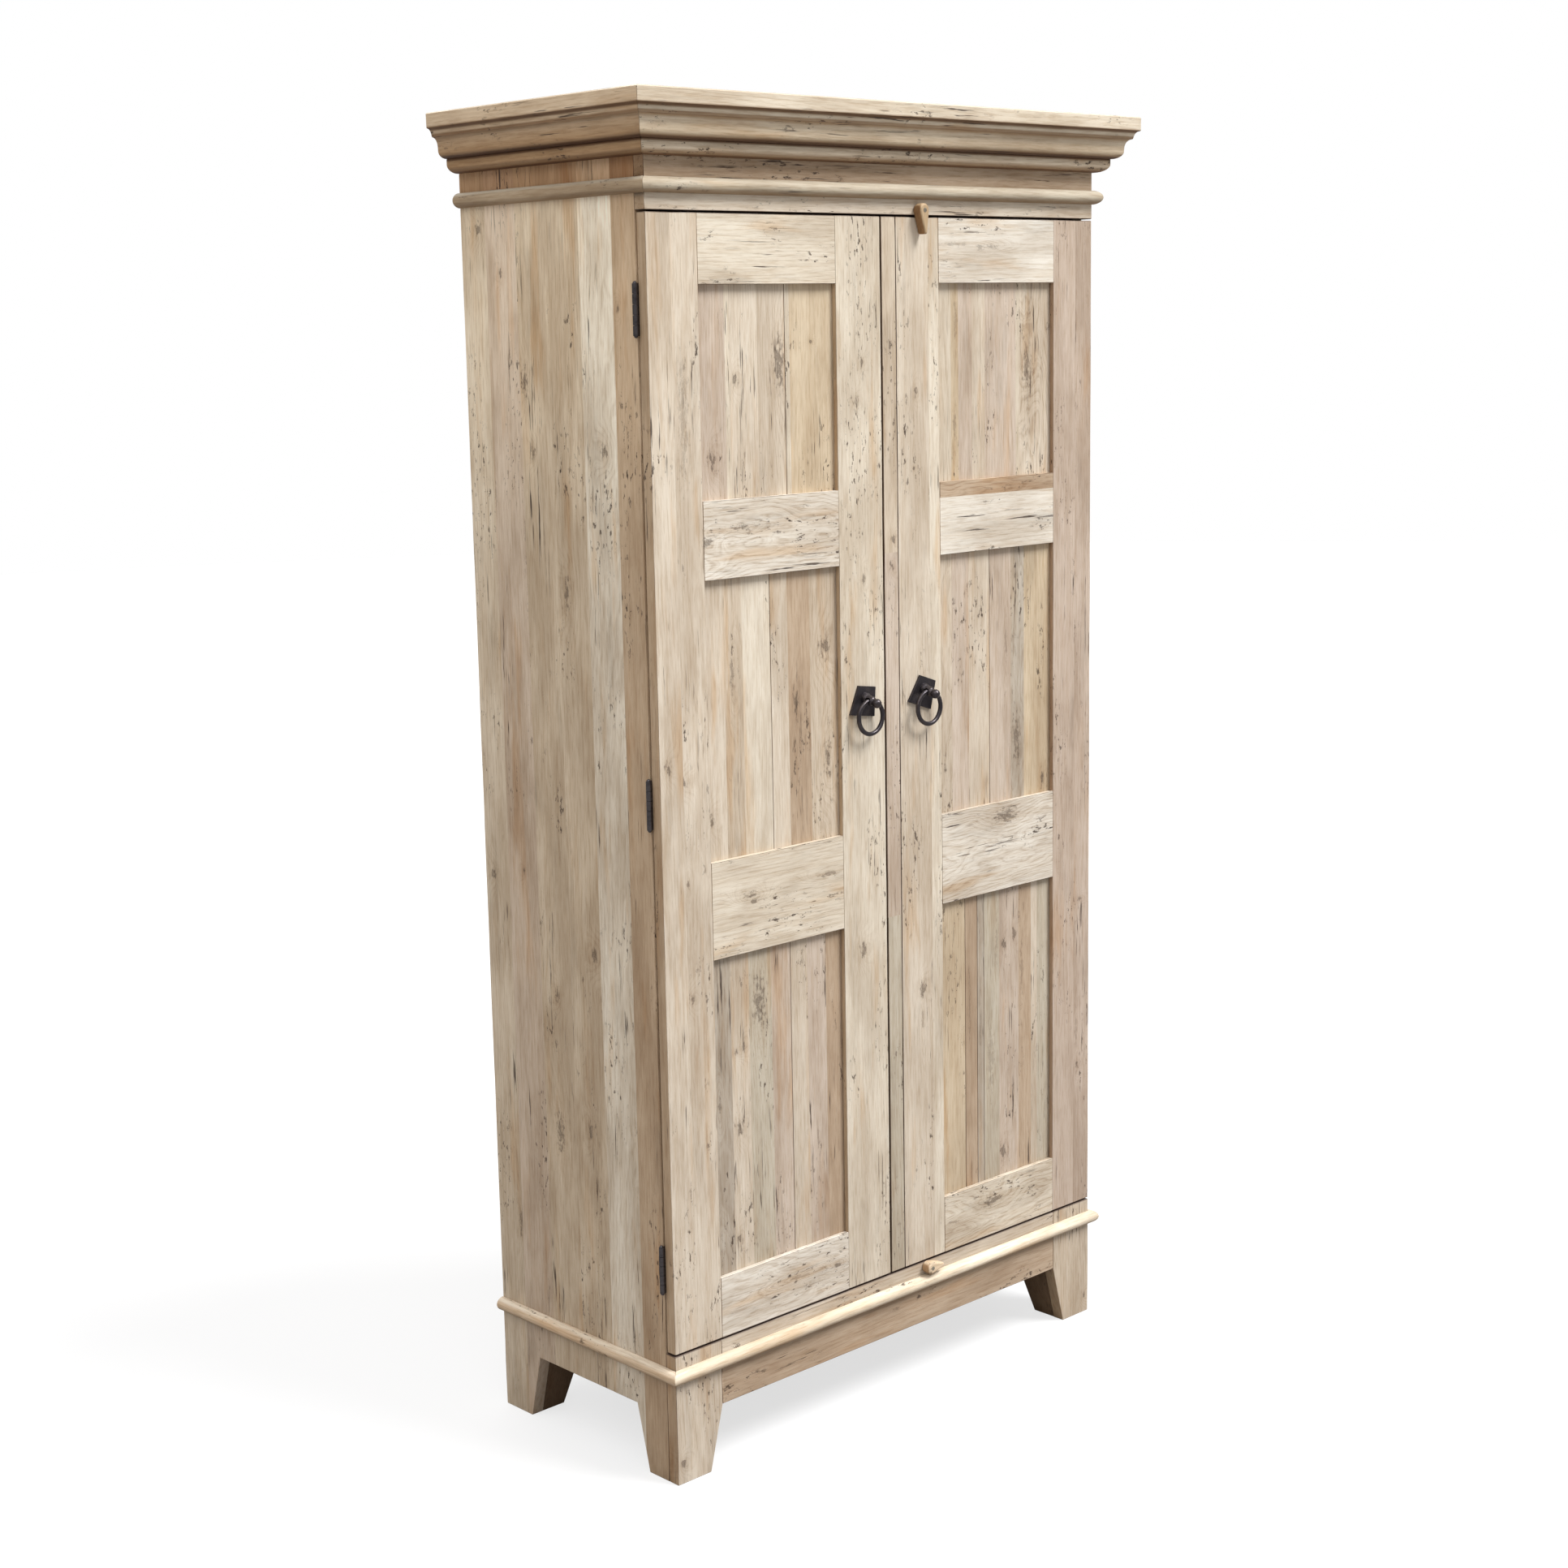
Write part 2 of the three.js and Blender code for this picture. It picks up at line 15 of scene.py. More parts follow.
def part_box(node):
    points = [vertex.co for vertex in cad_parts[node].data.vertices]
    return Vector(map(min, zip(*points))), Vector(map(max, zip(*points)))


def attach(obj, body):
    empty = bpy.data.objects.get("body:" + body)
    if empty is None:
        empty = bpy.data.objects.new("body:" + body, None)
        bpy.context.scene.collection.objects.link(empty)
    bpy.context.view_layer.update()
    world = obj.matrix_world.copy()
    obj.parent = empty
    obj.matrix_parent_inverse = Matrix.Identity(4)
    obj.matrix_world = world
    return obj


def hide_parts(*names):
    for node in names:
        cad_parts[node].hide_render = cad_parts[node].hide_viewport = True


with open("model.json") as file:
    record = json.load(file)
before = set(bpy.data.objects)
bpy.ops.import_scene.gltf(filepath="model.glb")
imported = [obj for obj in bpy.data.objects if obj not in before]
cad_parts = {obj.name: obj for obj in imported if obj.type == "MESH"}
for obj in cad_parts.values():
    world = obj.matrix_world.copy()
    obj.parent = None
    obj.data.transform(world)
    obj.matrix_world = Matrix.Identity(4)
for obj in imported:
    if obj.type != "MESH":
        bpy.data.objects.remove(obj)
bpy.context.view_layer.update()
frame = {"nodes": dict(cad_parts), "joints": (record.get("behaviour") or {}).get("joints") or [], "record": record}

bl_info = {
    "name": "Oak Armoire",
    "version": (1, 0, 0),
    "blender": (4, 5, 0),
    "location": "3D View > Sidebar > Armoire",
    "description": "Dresses the armoire's frame with worn oak boards, mouldings and forged ironwork",
    "category": "Object",
}

MM = 0.001
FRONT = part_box("front_apron")[0].y          # the plane of the doors' faces
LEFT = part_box("left_side_panel")[0].x       # the outer face of the left side
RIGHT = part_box("right_side_panel")[1].x
BODY_OF = {node: body for body, nodes in frame["record"]["behaviour"]["bodies"].items() for node in nodes}

# For boards that run each way: which axis lies across the grain, which through the board, which along it.
RUN = {
    "upright": (0, 1, 2),
    "side": (1, 0, 2),
    "level": (2, 1, 0),
    "return": (2, 0, 1),
    "shelf": (1, 2, 0),
}
KNOT_SLOTS = ("knot_a", "knot_b", "knot_c", "knot_d")
NO_KNOT = (-99.0, -99.0, MM, 1.0)           # too far away to show
GRAIN_SHIFTS = (0.6180, 0.3247, 0.7549)     # odd steps, so that no two boards share their grain
GRAIN_SPAN = 3
POST_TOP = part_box("bottom_board")[0].z      # the posts inside the feet end under the bottom board
POST_ARRIS = 1.6 * MM
BACK_BOARD = 16 * MM                        # thickness of the back's boards
THIN_BOARD = 9.5 * MM                       # only the doors' panels are thinner
PAST_JOINT = 0.05                           # a glued edge is taken to lie this far off, so it shows no wear
WEAR_STEP = 0.055                           # spacing of the cuts that let an edge wander
MOULDING_STEP = 0.05
WELD = 2e-5
ON_PLANE = 1e-5
EXACT = 1e-6
ZERO = (0.0, 0.0, 0.0)
WHITE = (1.0, 1.0, 1.0)


def linear(red, green, blue):
    """A colour, given 0 to 255, as linear light."""
    return tuple(c / 3294.6 if c <= 10 else ((c / 255 + 0.055) / 1.055) ** 2.4 for c in (red, green, blue))


def colour(name, shade, description):
    return FloatVectorProperty(
        name=name, description=description, subtype="COLOR", size=3, min=0, max=1, default=linear(*shade)
    )


def distance(name, millimetres, description):
    return FloatProperty(
        name=name, description=description, default=millimetres * MM, min=0, max=0.05, precision=5,
        unit="LENGTH",
    )


def light(name, value, description):
    return FloatProperty(name=name, description=description, default=value, min=0)


def share(name, value, description, high=1.0):
    return FloatProperty(
        name=name, description=description, default=value, min=0, max=high, subtype="FACTOR"
    )


# ---------------------------------------------------------------- settings
class ArmoireTones(bpy.types.PropertyGroup):
    """Colours of the oak boards, which come from different trees."""

    chalk: colour("Chalk", (236, 227, 212), "Boards bleached nearly white")
    ivory: colour("Ivory", (231, 219, 199), "The palest, sappy boards")
    cream: colour("Cream", (224, 210, 190), "Pale boards")
    beige: colour("Beige", (216, 200, 178), "Plain boards")
    pink: colour("Pink", (213, 196, 178), "Boards with a pinkish cast")
    rose: colour("Rose", (205, 186, 168), "Boards with a deeper pink cast")
    grey: colour("Grey", (207, 196, 176), "Boards greyed towards green")
    honey: colour("Honey", (218, 199, 170), "Yellow-brown boards")
    umber: colour("Umber", (198, 175, 149), "Brown boards")
    silver: colour("Silver", (197, 185, 168), "Weathered grey boards")


class ArmoireWear(bpy.types.PropertyGroup):
    """How the boards are worked and how far they have aged."""

    arris: distance("Arris", 1.1, "Rounding of a board's edges")
    wander: distance("Wander", 0.55, "How unevenly the edges are worn")
    open_joint: distance("Open joint", 0.7, "Rounding of two boards where a joint between them has opened")
    figure: share("Figure", 0.62, "Strength of the growth lines")
    marks: share("Marks", 0.85, "Strength of flecks, checks and knots")
    stain: share("Stain", 0.55, "Strength of brown stains and grey patches")
    # rubbed edges and the dark lines follow which way a face looks: partly a painted highlight on faces that look
    # up, partly painted shade on the rest
    rubbed: share("Rubbed edges", 0.55, "How much paler the rubbed edges are")
    grime: share("Grime", 0.72, "How dark the lines along the joints are")


class ArmoireIron(bpy.types.PropertyGroup):
    """Finish of the metal."""

    iron: colour("Iron", (64, 60, 64), "Waxed forged iron")
    brown: colour("Bare iron", (84, 77, 77), "Iron rubbed to brown")
    steel: colour("Steel", (88, 84, 86), "Aged steel of the hinges")


class ArmoireStudio(bpy.types.PropertyGroup):
    """Light and floor."""

    key: light("Key", 3.8, "Strength of the light high in front")
    fill: light("Fill", 1.35, "Strength of the broad light high on the left")
    back: light("Back", 0.6, "Strength of the broad light behind")
    horizon: share("Horizon", 0.25, "Strength of the light from the sides", 2.0)
    zenith: share("Zenith", 0.64, "Strength of the light from above", 2.0)
    floor: colour("Floor", (238, 238, 238), "Floor")


class ArmoireSettings(bpy.types.PropertyGroup):
    """All settings of the armoire."""

    tones: PointerProperty(type=ArmoireTones, name="Tones", description="Colours of the boards")
    wear: PointerProperty(type=ArmoireWear, name="Wear", description="Working and ageing of the boards")
    iron: PointerProperty(type=ArmoireIron, name="Iron", description="Finish of the metal")
    studio: PointerProperty(type=ArmoireStudio, name="Studio", description="Light and floor")


def settings():
    return bpy.context.scene.armoire


# ---------------------------------------------------------------- boards
# Boards of a piece, in order: where each ends, its tone, how much figure its grain shows, and whether the
# joint after it has opened. In mm, uprights end at distances from the body's left side, boards of the sides
# and shelves at distances from the doors' plane, rails and the centre strip's lengths at heights.
PANELS = {
    "left_door_top_panel": [
        (149, "pink", 0.2, 0), (158, "ivory", 0, 0), (212, "cream", 0.2, 0), (266.5, "cream", 0.4, 1),
        (276, "ivory", 0, 0), (None, "honey", 0.1, 0),
    ],
    "left_door_middle_panel": [
        (135, "cream", 0.1, 0), (171, "beige", 0.2, 0), (227, "ivory", 0, 1), (262, "cream", 0.1, 0),
        (307, "umber", 0.2, 0), (None, "beige", 0.5, 0),
    ],
    "left_door_bottom_panel": [
        (133, "silver", 0.5, 0), (170, "cream", 0.1, 0), (216, "grey", 0.3, 0), (256, "pink", 0.1, 1),
        (291, "cream", 0.1, 0), (330, "pink", 0, 0), (None, "umber", 0.1, 0),
    ],
    "right_door_top_panel": [
        (619, "ivory", 0.2, 0), (636, "honey", 0.1, 0), (667, "pink", 0.1, 0), (697, "cream", 0.2, 0),
        (770, "pink", 0.3, 0), (778, "ivory", 0, 0), (None, "cream", 1.0, 0),
    ],
    "right_door_middle_panel": [
        (618, "cream", 0.7, 0), (657, "pink", 0.1, 0), (706, "cream", 0.1, 1), (757, "pink", 0.1, 0),
        (789, "silver", 0.7, 0), (None, "honey", 0.1, 0),
    ],
    "right_door_bottom_panel": [
        (645, "honey", 0.1, 1), (674, "umber", 0.1, 1), (690, "silver", 0, 1), (727, "grey", 0.2, 0),
        (775, "pink", 0.1, 0), (806, "umber", 0.2, 0), (821, "cream", 0, 0), (None, "grey", 0.1, 0),
    ],
    "left_side_panel": [
        (71, "umber", 0.1, 0), (143, "chalk", 0.5, 0), (213, "beige", 0.4, 0), (285, "beige", 0.2, 0),
        (355, "pink", 0.2, 0), (None, "cream", 0.3, 0),
    ],
    "right_side_panel": [
        (66, "cream", 0.2, 0), (131, "beige", 0.5, 0), (208, "pink", 0.3, 1), (270, "grey", 0.1, 0),
        (349, "beige", 0.5, 0), (None, "umber", 0.2, 0),
    ],
    "back_panel": [
        (128, "beige", 0.4, 1), (247, "umber", 0.3, 1), (352, "honey", 0.6, 1), (471, "beige", 0.2, 1),
        (588, "pink", 0.5, 1), (709, "umber", 0.7, 1), (823, "beige", 0.3, 1), (None, "honey", 0.2, 0),
    ],
    "bottom_board": [(125, "beige", 0.3, 0), (250, "umber", 0.6, 0), (None, "beige", 0.2, 0)],
    "lower_shelf": [(110, "beige", 0.5, 0), (245, "honey", 0.2, 0), (None, "umber", 0.4, 0)],
    "upper_shelf": [(140, "umber", 0.2, 0), (265, "beige", 0.6, 0), (None, "beige", 0.3, 0)],
    "top_board": [
        (95, "beige", 0.4, 0), (210, "pink", 0.2, 1), (318, "umber", 0.6, 0), (None, "beige", 0.3, 0),
    ],
    "left_door_outer_stile": [(44, "cream", 0.1, 0), (None, "cream", 0.15, 0)],
    "left_door_inner_stile": [(None, "ivory", 0.1, 0)],
    "right_door_inner_stile": [(560, "cream", 0.1, 0), (None, "ivory", 0.05, 0)],
    "right_door_outer_stile": [(905, "rose", 0.1, 0), (None, "rose", 0.3, 0)],
    "centre_strip": [(782, "grey", 0.3, 0), (1345, "pink", 0.1, 0), (None, "beige", 0.1, 0)],
    "left_door_top_rail": [(None, "ivory", 0.2, 0)],
    "left_door_upper_mid_rail": [(None, "chalk", 1.0, 0)],
    "left_door_lower_mid_rail": [(None, "ivory", 0.3, 0)],
    "left_door_bottom_rail": [(None, "chalk", 0.8, 0)],
    "right_door_top_rail": [(None, "chalk", 0.1, 0)],
    "right_door_upper_mid_rail": [(1421, "chalk", 0.3, 0), (None, "umber", 0.9, 0)],
    "right_door_lower_mid_rail": [(None, "chalk", 1.0, 0)],
    "right_door_bottom_rail": [(None, "ivory", 1.0, 0)],
    "front_apron": [(169.5, "umber", 0.3, 0), (None, "cream", 0.4, 0)],
    "left_front_leg": [(None, "cream", 0.3, 0)],
    "right_front_leg": [(None, "beige", 0.4, 0)],
    "frieze_rail": [(1877, "cream", 0.2, 0), (None, "umber", 0.3, 0)],
}

# Knots: place across the board and along it, radius, and how far each is drawn out along the grain. The
# places are measured as above, with heights from the floor.
KNOTS = {
    "left_door_outer_stile": [
        (45, 1050, 7, 1.2), (16, 1075, 6, 1.6), (50, 733, 6, 1.3), (61, 1560, 9, 9), (48, 900, 2.5, 4),
    ],
    "left_door_inner_stile": [
        (415, 1628, 4, 1.6), (402, 1572, 5, 1.5), (414, 1310, 3.5, 3), (403, 742, 8, 1.4),
    ],
    "left_door_top_panel": [
        (256, 1635, 11, 3.2), (320, 1662, 4, 0.7), (168, 1612, 6, 1.6), (120, 1500, 7, 2),
    ],
    "left_door_middle_panel": [
        (338, 1215, 11, 1.7), (278, 1140, 6, 3.2), (103, 987, 7, 1.5), (341, 1050, 6, 4),
        (150, 1190, 5, 5),
    ],
    "left_door_bottom_panel": [
        (142, 632, 4, 1.3), (157, 640, 5, 1.6), (146, 515, 6, 2), (141, 345, 4, 2), (192, 700, 12, 3),
        (107, 560, 3, 5), (283, 733, 3, 7),
    ],
    "left_door_lower_mid_rail": [(868, 170, 5, 3), (858, 175, 4, 3), (872, 330, 4, 5)],
    "left_door_bottom_rail": [(254, 262, 3, 10), (250, 340, 4, 2)],
    "left_door_upper_mid_rail": [(1388, 98, 10, 1.2), (1404, 165, 5, 4)],
    "right_door_inner_stile": [
        (537, 655, 7, 1.5), (530, 1585, 4, 2), (527, 1470, 3, 1), (536, 600, 3, 7), (520, 1560, 9, 3),
    ],
    "right_door_top_panel": [(796, 1610, 9, 4), (630, 1690, 4, 7), (627, 1530, 4, 6)],
    "right_door_middle_panel": [(771, 1022, 9, 4), (745, 1180, 3, 7), (836, 952, 5, 3)],
    "right_door_bottom_panel": [
        (720, 690, 4, 8), (738, 690, 5, 2.6), (763, 700, 5, 2.2), (783, 640, 5, 7), (706, 500, 8, 8),
        (735, 335, 7, 2.4), (655, 600, 2.6, 25), (681, 560, 1.6, 30),
    ],
    "right_door_outer_stile": [(921, 733, 6, 0.7), (914, 447, 5, 1.6), (912, 510, 4, 8)],
    "right_door_top_rail": [(1802, 625, 3, 9), (1798, 690, 4, 6)],
    "right_door_lower_mid_rail": [(902, 735, 12, 2.2)],
    "right_door_bottom_rail": [(262, 700, 9, 2.6), (250, 600, 3, 6)],
    "centre_strip": [(480, 1365, 5, 1.2), (476, 1325, 5, 1.4)],
    "left_front_leg": [(12, 32, 6, 1.2)],
    "right_front_leg": [(936, 30, 5, 1.2)],
    "left_side_panel": [
        (100, 1518, 8, 1.4), (62, 1715, 4, 1.5), (193, 1310, 8, 2.6), (155, 780, 8, 1.5),
        (180, 505, 5, 2.5), (275, 1613, 8, 2.6), (261, 1512, 5, 1.8), (248, 705, 6, 1.7),
        (251, 490, 10, 3.4), (322, 1770, 4, 2), (285, 1400, 3, 7), (318, 885, 4, 1.5), (393, 872, 7, 1.5),
        (372, 1835, 8, 1.3), (358, 318, 5, 4), (353, 1450, 3, 8),
    ],
    "right_side_panel": [
        (97, 1240, 9, 1.6), (170, 560, 7, 2), (238, 1660, 6, 2), (310, 905, 10, 2.4), (380, 390, 5, 3),
    ],
    "back_panel": [
        (190, 1420, 12, 1.5), (420, 620, 9, 2.2), (650, 1130, 14, 1.6), (770, 350, 8, 2),
        (300, 1760, 9, 3),
    ],
}

# Mouldings: tone of the front length, tone of the returns, and whether they take painted shade under the cornice's
# overhang.
MOULDINGS = {
    "cornice": ("ivory", "ivory", True),
    "bed_mould": ("chalk", "ivory", True),
    "upper_bead": ("grey", "grey", False),
    "lower_bead": ("ivory", "cream", False),
}
MOULDING_WAYS = {"front": "level", "left": "return", "right": "return"}

WAYS = {
    "upright": [n for n in PANELS if n.startswith(("left_door", "right_door")) and not n.endswith("rail")]
    + ["back_panel", "centre_strip", "left_front_leg", "right_front_leg"],
    "side": ["left_side_panel", "right_side_panel"],
    "level": [n for n in PANELS if n.endswith("rail")] + ["front_apron"],
    "shelf": ["bottom_board", "lower_shelf", "upper_shelf", "top_board"],
}
WAY_OF = {node: way for way, nodes in WAYS.items() for node in nodes}
END_TO_END = ("centre_strip",)      # its boards follow each other along the grain


def place(axis, millimetres):
    """A length in the tables above, as a coordinate on an axis of the frame."""
    return (LEFT, FRONT, 0.0)[axis] + millimetres * MM


def cad_copy(node):
    """A CAD piece's mesh with its corners merged and its flat faces whole."""
    bm = bmesh.new()
    bm.from_mesh(frame["nodes"][node].data)
    bmesh.ops.remove_doubles(bm, verts=bm.verts, dist=WELD)
    bmesh.ops.dissolve_limit(bm, angle_limit=math.radians(0.5), verts=bm.verts, edges=bm.edges)
    return bm


def saw(bm, axis, value, dist=EXACT, **clear):
    """Cuts a mesh where a coordinate has that value."""
    spot, normal = Vector(), Vector()
    spot[axis], normal[axis] = value, 1
    return bmesh.ops.bisect_plane(
        bm, geom=bm.verts[:] + bm.edges[:] + bm.faces[:], dist=dist, plane_co=spot, plane_no=normal, **clear
    )


def trim(bm, axis, value, keep_above):
    """Saws a board square at a plane and closes the cut."""
    cut = saw(bm, axis, value, clear_inner=keep_above, clear_outer=not keep_above)
    edges = [e for e in cut["geom_cut"] if isinstance(e, bmesh.types.BMEdge) and e.is_boundary]
    if edges:
        bmesh.ops.edgeloop_fill(bm, edges=edges)


def ease(bm, edges, radius, segments=2):
    """Rounds those edges."""
    bmesh.ops.bevel(
        bm, geom=list(edges), offset=radius, segments=segments, profile=0.5, affect="EDGES",
        clamp_overlap=True, material=-1,
    )


def join(joined, bm):
    """Adds a mesh to another and frees it."""
    part = bpy.data.meshes.new("part")
    bm.to_mesh(part)
    bm.free()
    joined.from_mesh(part)
    bpy.data.meshes.remove(part)


def extent(bm):
    lows = [min(v.co[i] for v in bm.verts) for i in range(3)]
    highs = [max(v.co[i] for v in bm.verts) for i in range(3)]
    return lows, highs


def soften(bm, radius, segments=2, tight=(), sharper_than=35):
    """Rounds a board's edges, except along joints that are glued tight."""
    def in_joint(edge):
        return any(all(abs(v.co[axis] - value) < ON_PLANE for v in edge.verts) for axis, value in tight)

    sharp = math.radians(sharper_than)
    edges = [
        e for e in bm.edges
        if len(e.link_faces) == 2 and e.calc_face_angle(0) > sharp and not in_joint(e)
    ]
    ease(bm, edges, radius, segments)


def hand_wear(bm, along, low, high, radius, wander, seed):
    """Makes the rounding of the edges wander, as hands and planes leave it. Only takes wood away."""
    length = high[along] - low[along]
    cuts = int(length / WEAR_STEP)
    for i in range(1, cuts):
        saw(bm, along, low[along] + length * (i + 0.3 * math.sin(seed + i * 2.4)) / cuts)
    for v in bm.verts:
        dips = noise.noise(v.co * 17 + Vector((seed * 3.7, 0, 0))) + 0.6 * noise.noise(v.co * 51)
        amount = wander * min(1.0, max(0.0, 0.45 + dips))
        for axis in range(3):
            if axis == along:
                continue
            for face, inward in ((low[axis], 1), (high[axis], -1)):
                if WELD < abs(v.co[axis] - face) < radius * 1.2:
                    v.co[axis] += inward * amount


def label(bm, way, tone, figure, seed, low, high, knots=()):
    """Writes on a board's points what the oak reads: its grain, its box, its tone and its knots."""
    vectors = {name: bm.verts.layers.float_vector.new(name) for name in ("grain", "middle", "half")}
    colours = {name: bm.verts.layers.float_color.new(name) for name in ("tone", *KNOT_SLOTS)}
    axes = RUN[way]
    shift = [(seed * step) % 1.0 * GRAIN_SPAN for step in GRAIN_SHIFTS]
    centre = [(low[a] + high[a]) / 2 for a in axes]
    half = Vector([(high[a] - low[a]) / 2 for a in axes])
    rows = [
        (across + shift[0], along + shift[2], radius, stretch) for across, along, radius, stretch in knots
    ][:len(KNOT_SLOTS)]
    rows += [NO_KNOT] * (len(KNOT_SLOTS) - len(rows))
    shade = getattr(settings().tones, tone)
    for v in bm.verts:
        grain = [v.co[a] for a in axes]
        v[vectors["grain"]] = Vector([g + s for g, s in zip(grain, shift)])
        v[vectors["middle"]] = Vector([g - c for g, c in zip(grain, centre)])
        v[vectors["half"]] = half
        v[colours["tone"]] = (*shade, figure)
        for name, row in zip(KNOT_SLOTS, rows):
            v[colours[name]] = row


def finish_piece(bm, name, node, material, crease=50, replace=True):
    """Makes an object of a bmesh, at the origin, riding on the body of a CAD node and standing for it."""
    mesh = bpy.data.meshes.new(name)
    bm.to_mesh(mesh)
    bm.free()
    mesh.shade_smooth()
    mesh.set_sharp_from_angle(angle=math.radians(crease))
    mesh.materials.append(material)
    obj = bpy.data.objects.new(name, mesh)
    bpy.context.scene.collection.objects.link(obj)
    weights = obj.modifiers.new("Flat faces", "WEIGHTED_NORMAL")
    weights.keep_sharp = True
    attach(obj, BODY_OF[node])
    if replace:
        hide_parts(node)
    return obj


def knots_in(node, axes, start, end):
    """The knots of a node whose middle lies on the board between start and end, in metres."""
    across, _, along = axes
    for u, w, radius, stretch in KNOTS.get(node, ()):
        if start <= place(across, u) < end:
            yield place(across, u), place(along, w), radius * MM, stretch


def foot_post(node, side, back):
    """The post inside a foot, sawn off the CAD solid of the boards that it is glued to."""
    bm = cad_copy(node)
    trim(bm, 0, 0, side > 0)
    trim(bm, 1, back, node != "back_panel")
    trim(bm, 2, POST_TOP, False)
    soften(bm, POST_ARRIS)
    low, high = extent(bm)
    hand_wear(bm, 2, low, high, POST_ARRIS, settings().wear.wander, side * 3)
    bmesh.ops.recalc_face_normals(bm, faces=bm.faces)
    label(bm, "upright", "umber", 0.5, 5 + side, low, high)
    name = ("left" if side < 0 else "right") + ("_rear_post" if node == "back_panel" else "_front_post")
    return finish_piece(bm, name, node, shaded_foot_oak())


def glued_boards(node, material, behind=None):
    """Every board of a node, sawn from its CAD solid, rounded, worn and joined into one piece.

    Where posts are part of the solid, behind gives the plane that cuts them off, and whether the boards
    lie behind it.
    """
    wear = settings().wear
    way = WAY_OF[node]
    axes = RUN[way]
    across, along = (axes[2], axes[2]) if node in END_TO_END else (axes[0], axes[2])
    whole = cad_copy(node)
    if behind:
        trim(whole, 1, *behind)
    low, high = extent(whole)
    joined = bmesh.new()
    start, opened = low[across], 1
    for i, (end, tone, figure, opens) in enumerate(PANELS[node]):
        last = end is None
        stop = high[across] if last else place(across, end)
        bm = whole.copy()
        tight = []
        box_low, box_high = list(low), list(high)
        box_low[across], box_high[across] = start, stop
        if i > 0:
            trim(bm, across, start, True)
            if not opened:
                tight.append((across, start))
                box_low[across] = start - PAST_JOINT
        if not last:
            trim(bm, across, stop, False)
            if not opens:
                tight.append((across, stop))
                box_high[across] = stop + PAST_JOINT
        seed = sum(ord(c) for c in node) % 97 + i * 7
        thin = high[axes[1]] - low[axes[1]] < THIN_BOARD
        radius = wear.open_joint if thin else wear.arris
        soften(bm, radius, tight=tight)
        low_now, high_now = extent(bm)
        hand_wear(bm, along, low_now, high_now, radius, wear.wander * (0.5 if thin else 1), seed)
        bmesh.ops.recalc_face_normals(bm, faces=bm.faces)
        reach = (start, stop) if across == axes[0] else (-math.inf, math.inf)
        label(bm, way, tone, figure, seed, box_low, box_high, knots_in(node, axes, *reach))
        join(joined, bm)
        start, opened = stop, opens
    whole.free()
    return finish_piece(joined, node + "_boards", node, material)


def run_moulding(node, way, tone, seed, material):
    """A length of moulding from its CAD section, with crisp edges eased and a slightly hand-run face."""
    wear = settings().wear
    bm = cad_copy(node)
    soften(bm, wear.arris * 0.8, sharper_than=50)
    low, high = extent(bm)
    along = RUN[way][2]
    for i in range(1, int((high[along] - low[along]) / MOULDING_STEP)):
        saw(bm, along, low[along] + i * MOULDING_STEP, dist=0)
    proud, under_top, past_corner = 4 * MM, 3 * MM, 10 * MM
    for v in bm.verts:
        if v.co.z >= high[2] - under_top:
            continue
        worn = wear.wander * max(0.0, 0.5 + noise.noise(v.co * 13 + Vector((seed, 0, 0))))
        if way == "level" and v.co.y < FRONT - proud:
            v.co.y += worn
        elif way == "return" and abs(v.co.x) > RIGHT + proud and v.co.y > FRONT + past_corner:
            v.co.x -= math.copysign(worn, v.co.x)
    bmesh.ops.recalc_face_normals(bm, faces=bm.faces)
    label(bm, way, tone, 0.3, seed, [c - PAST_JOINT for c in low], [c + PAST_JOINT for c in high])
    return finish_piece(bm, node + "_run", node, material, crease=38)


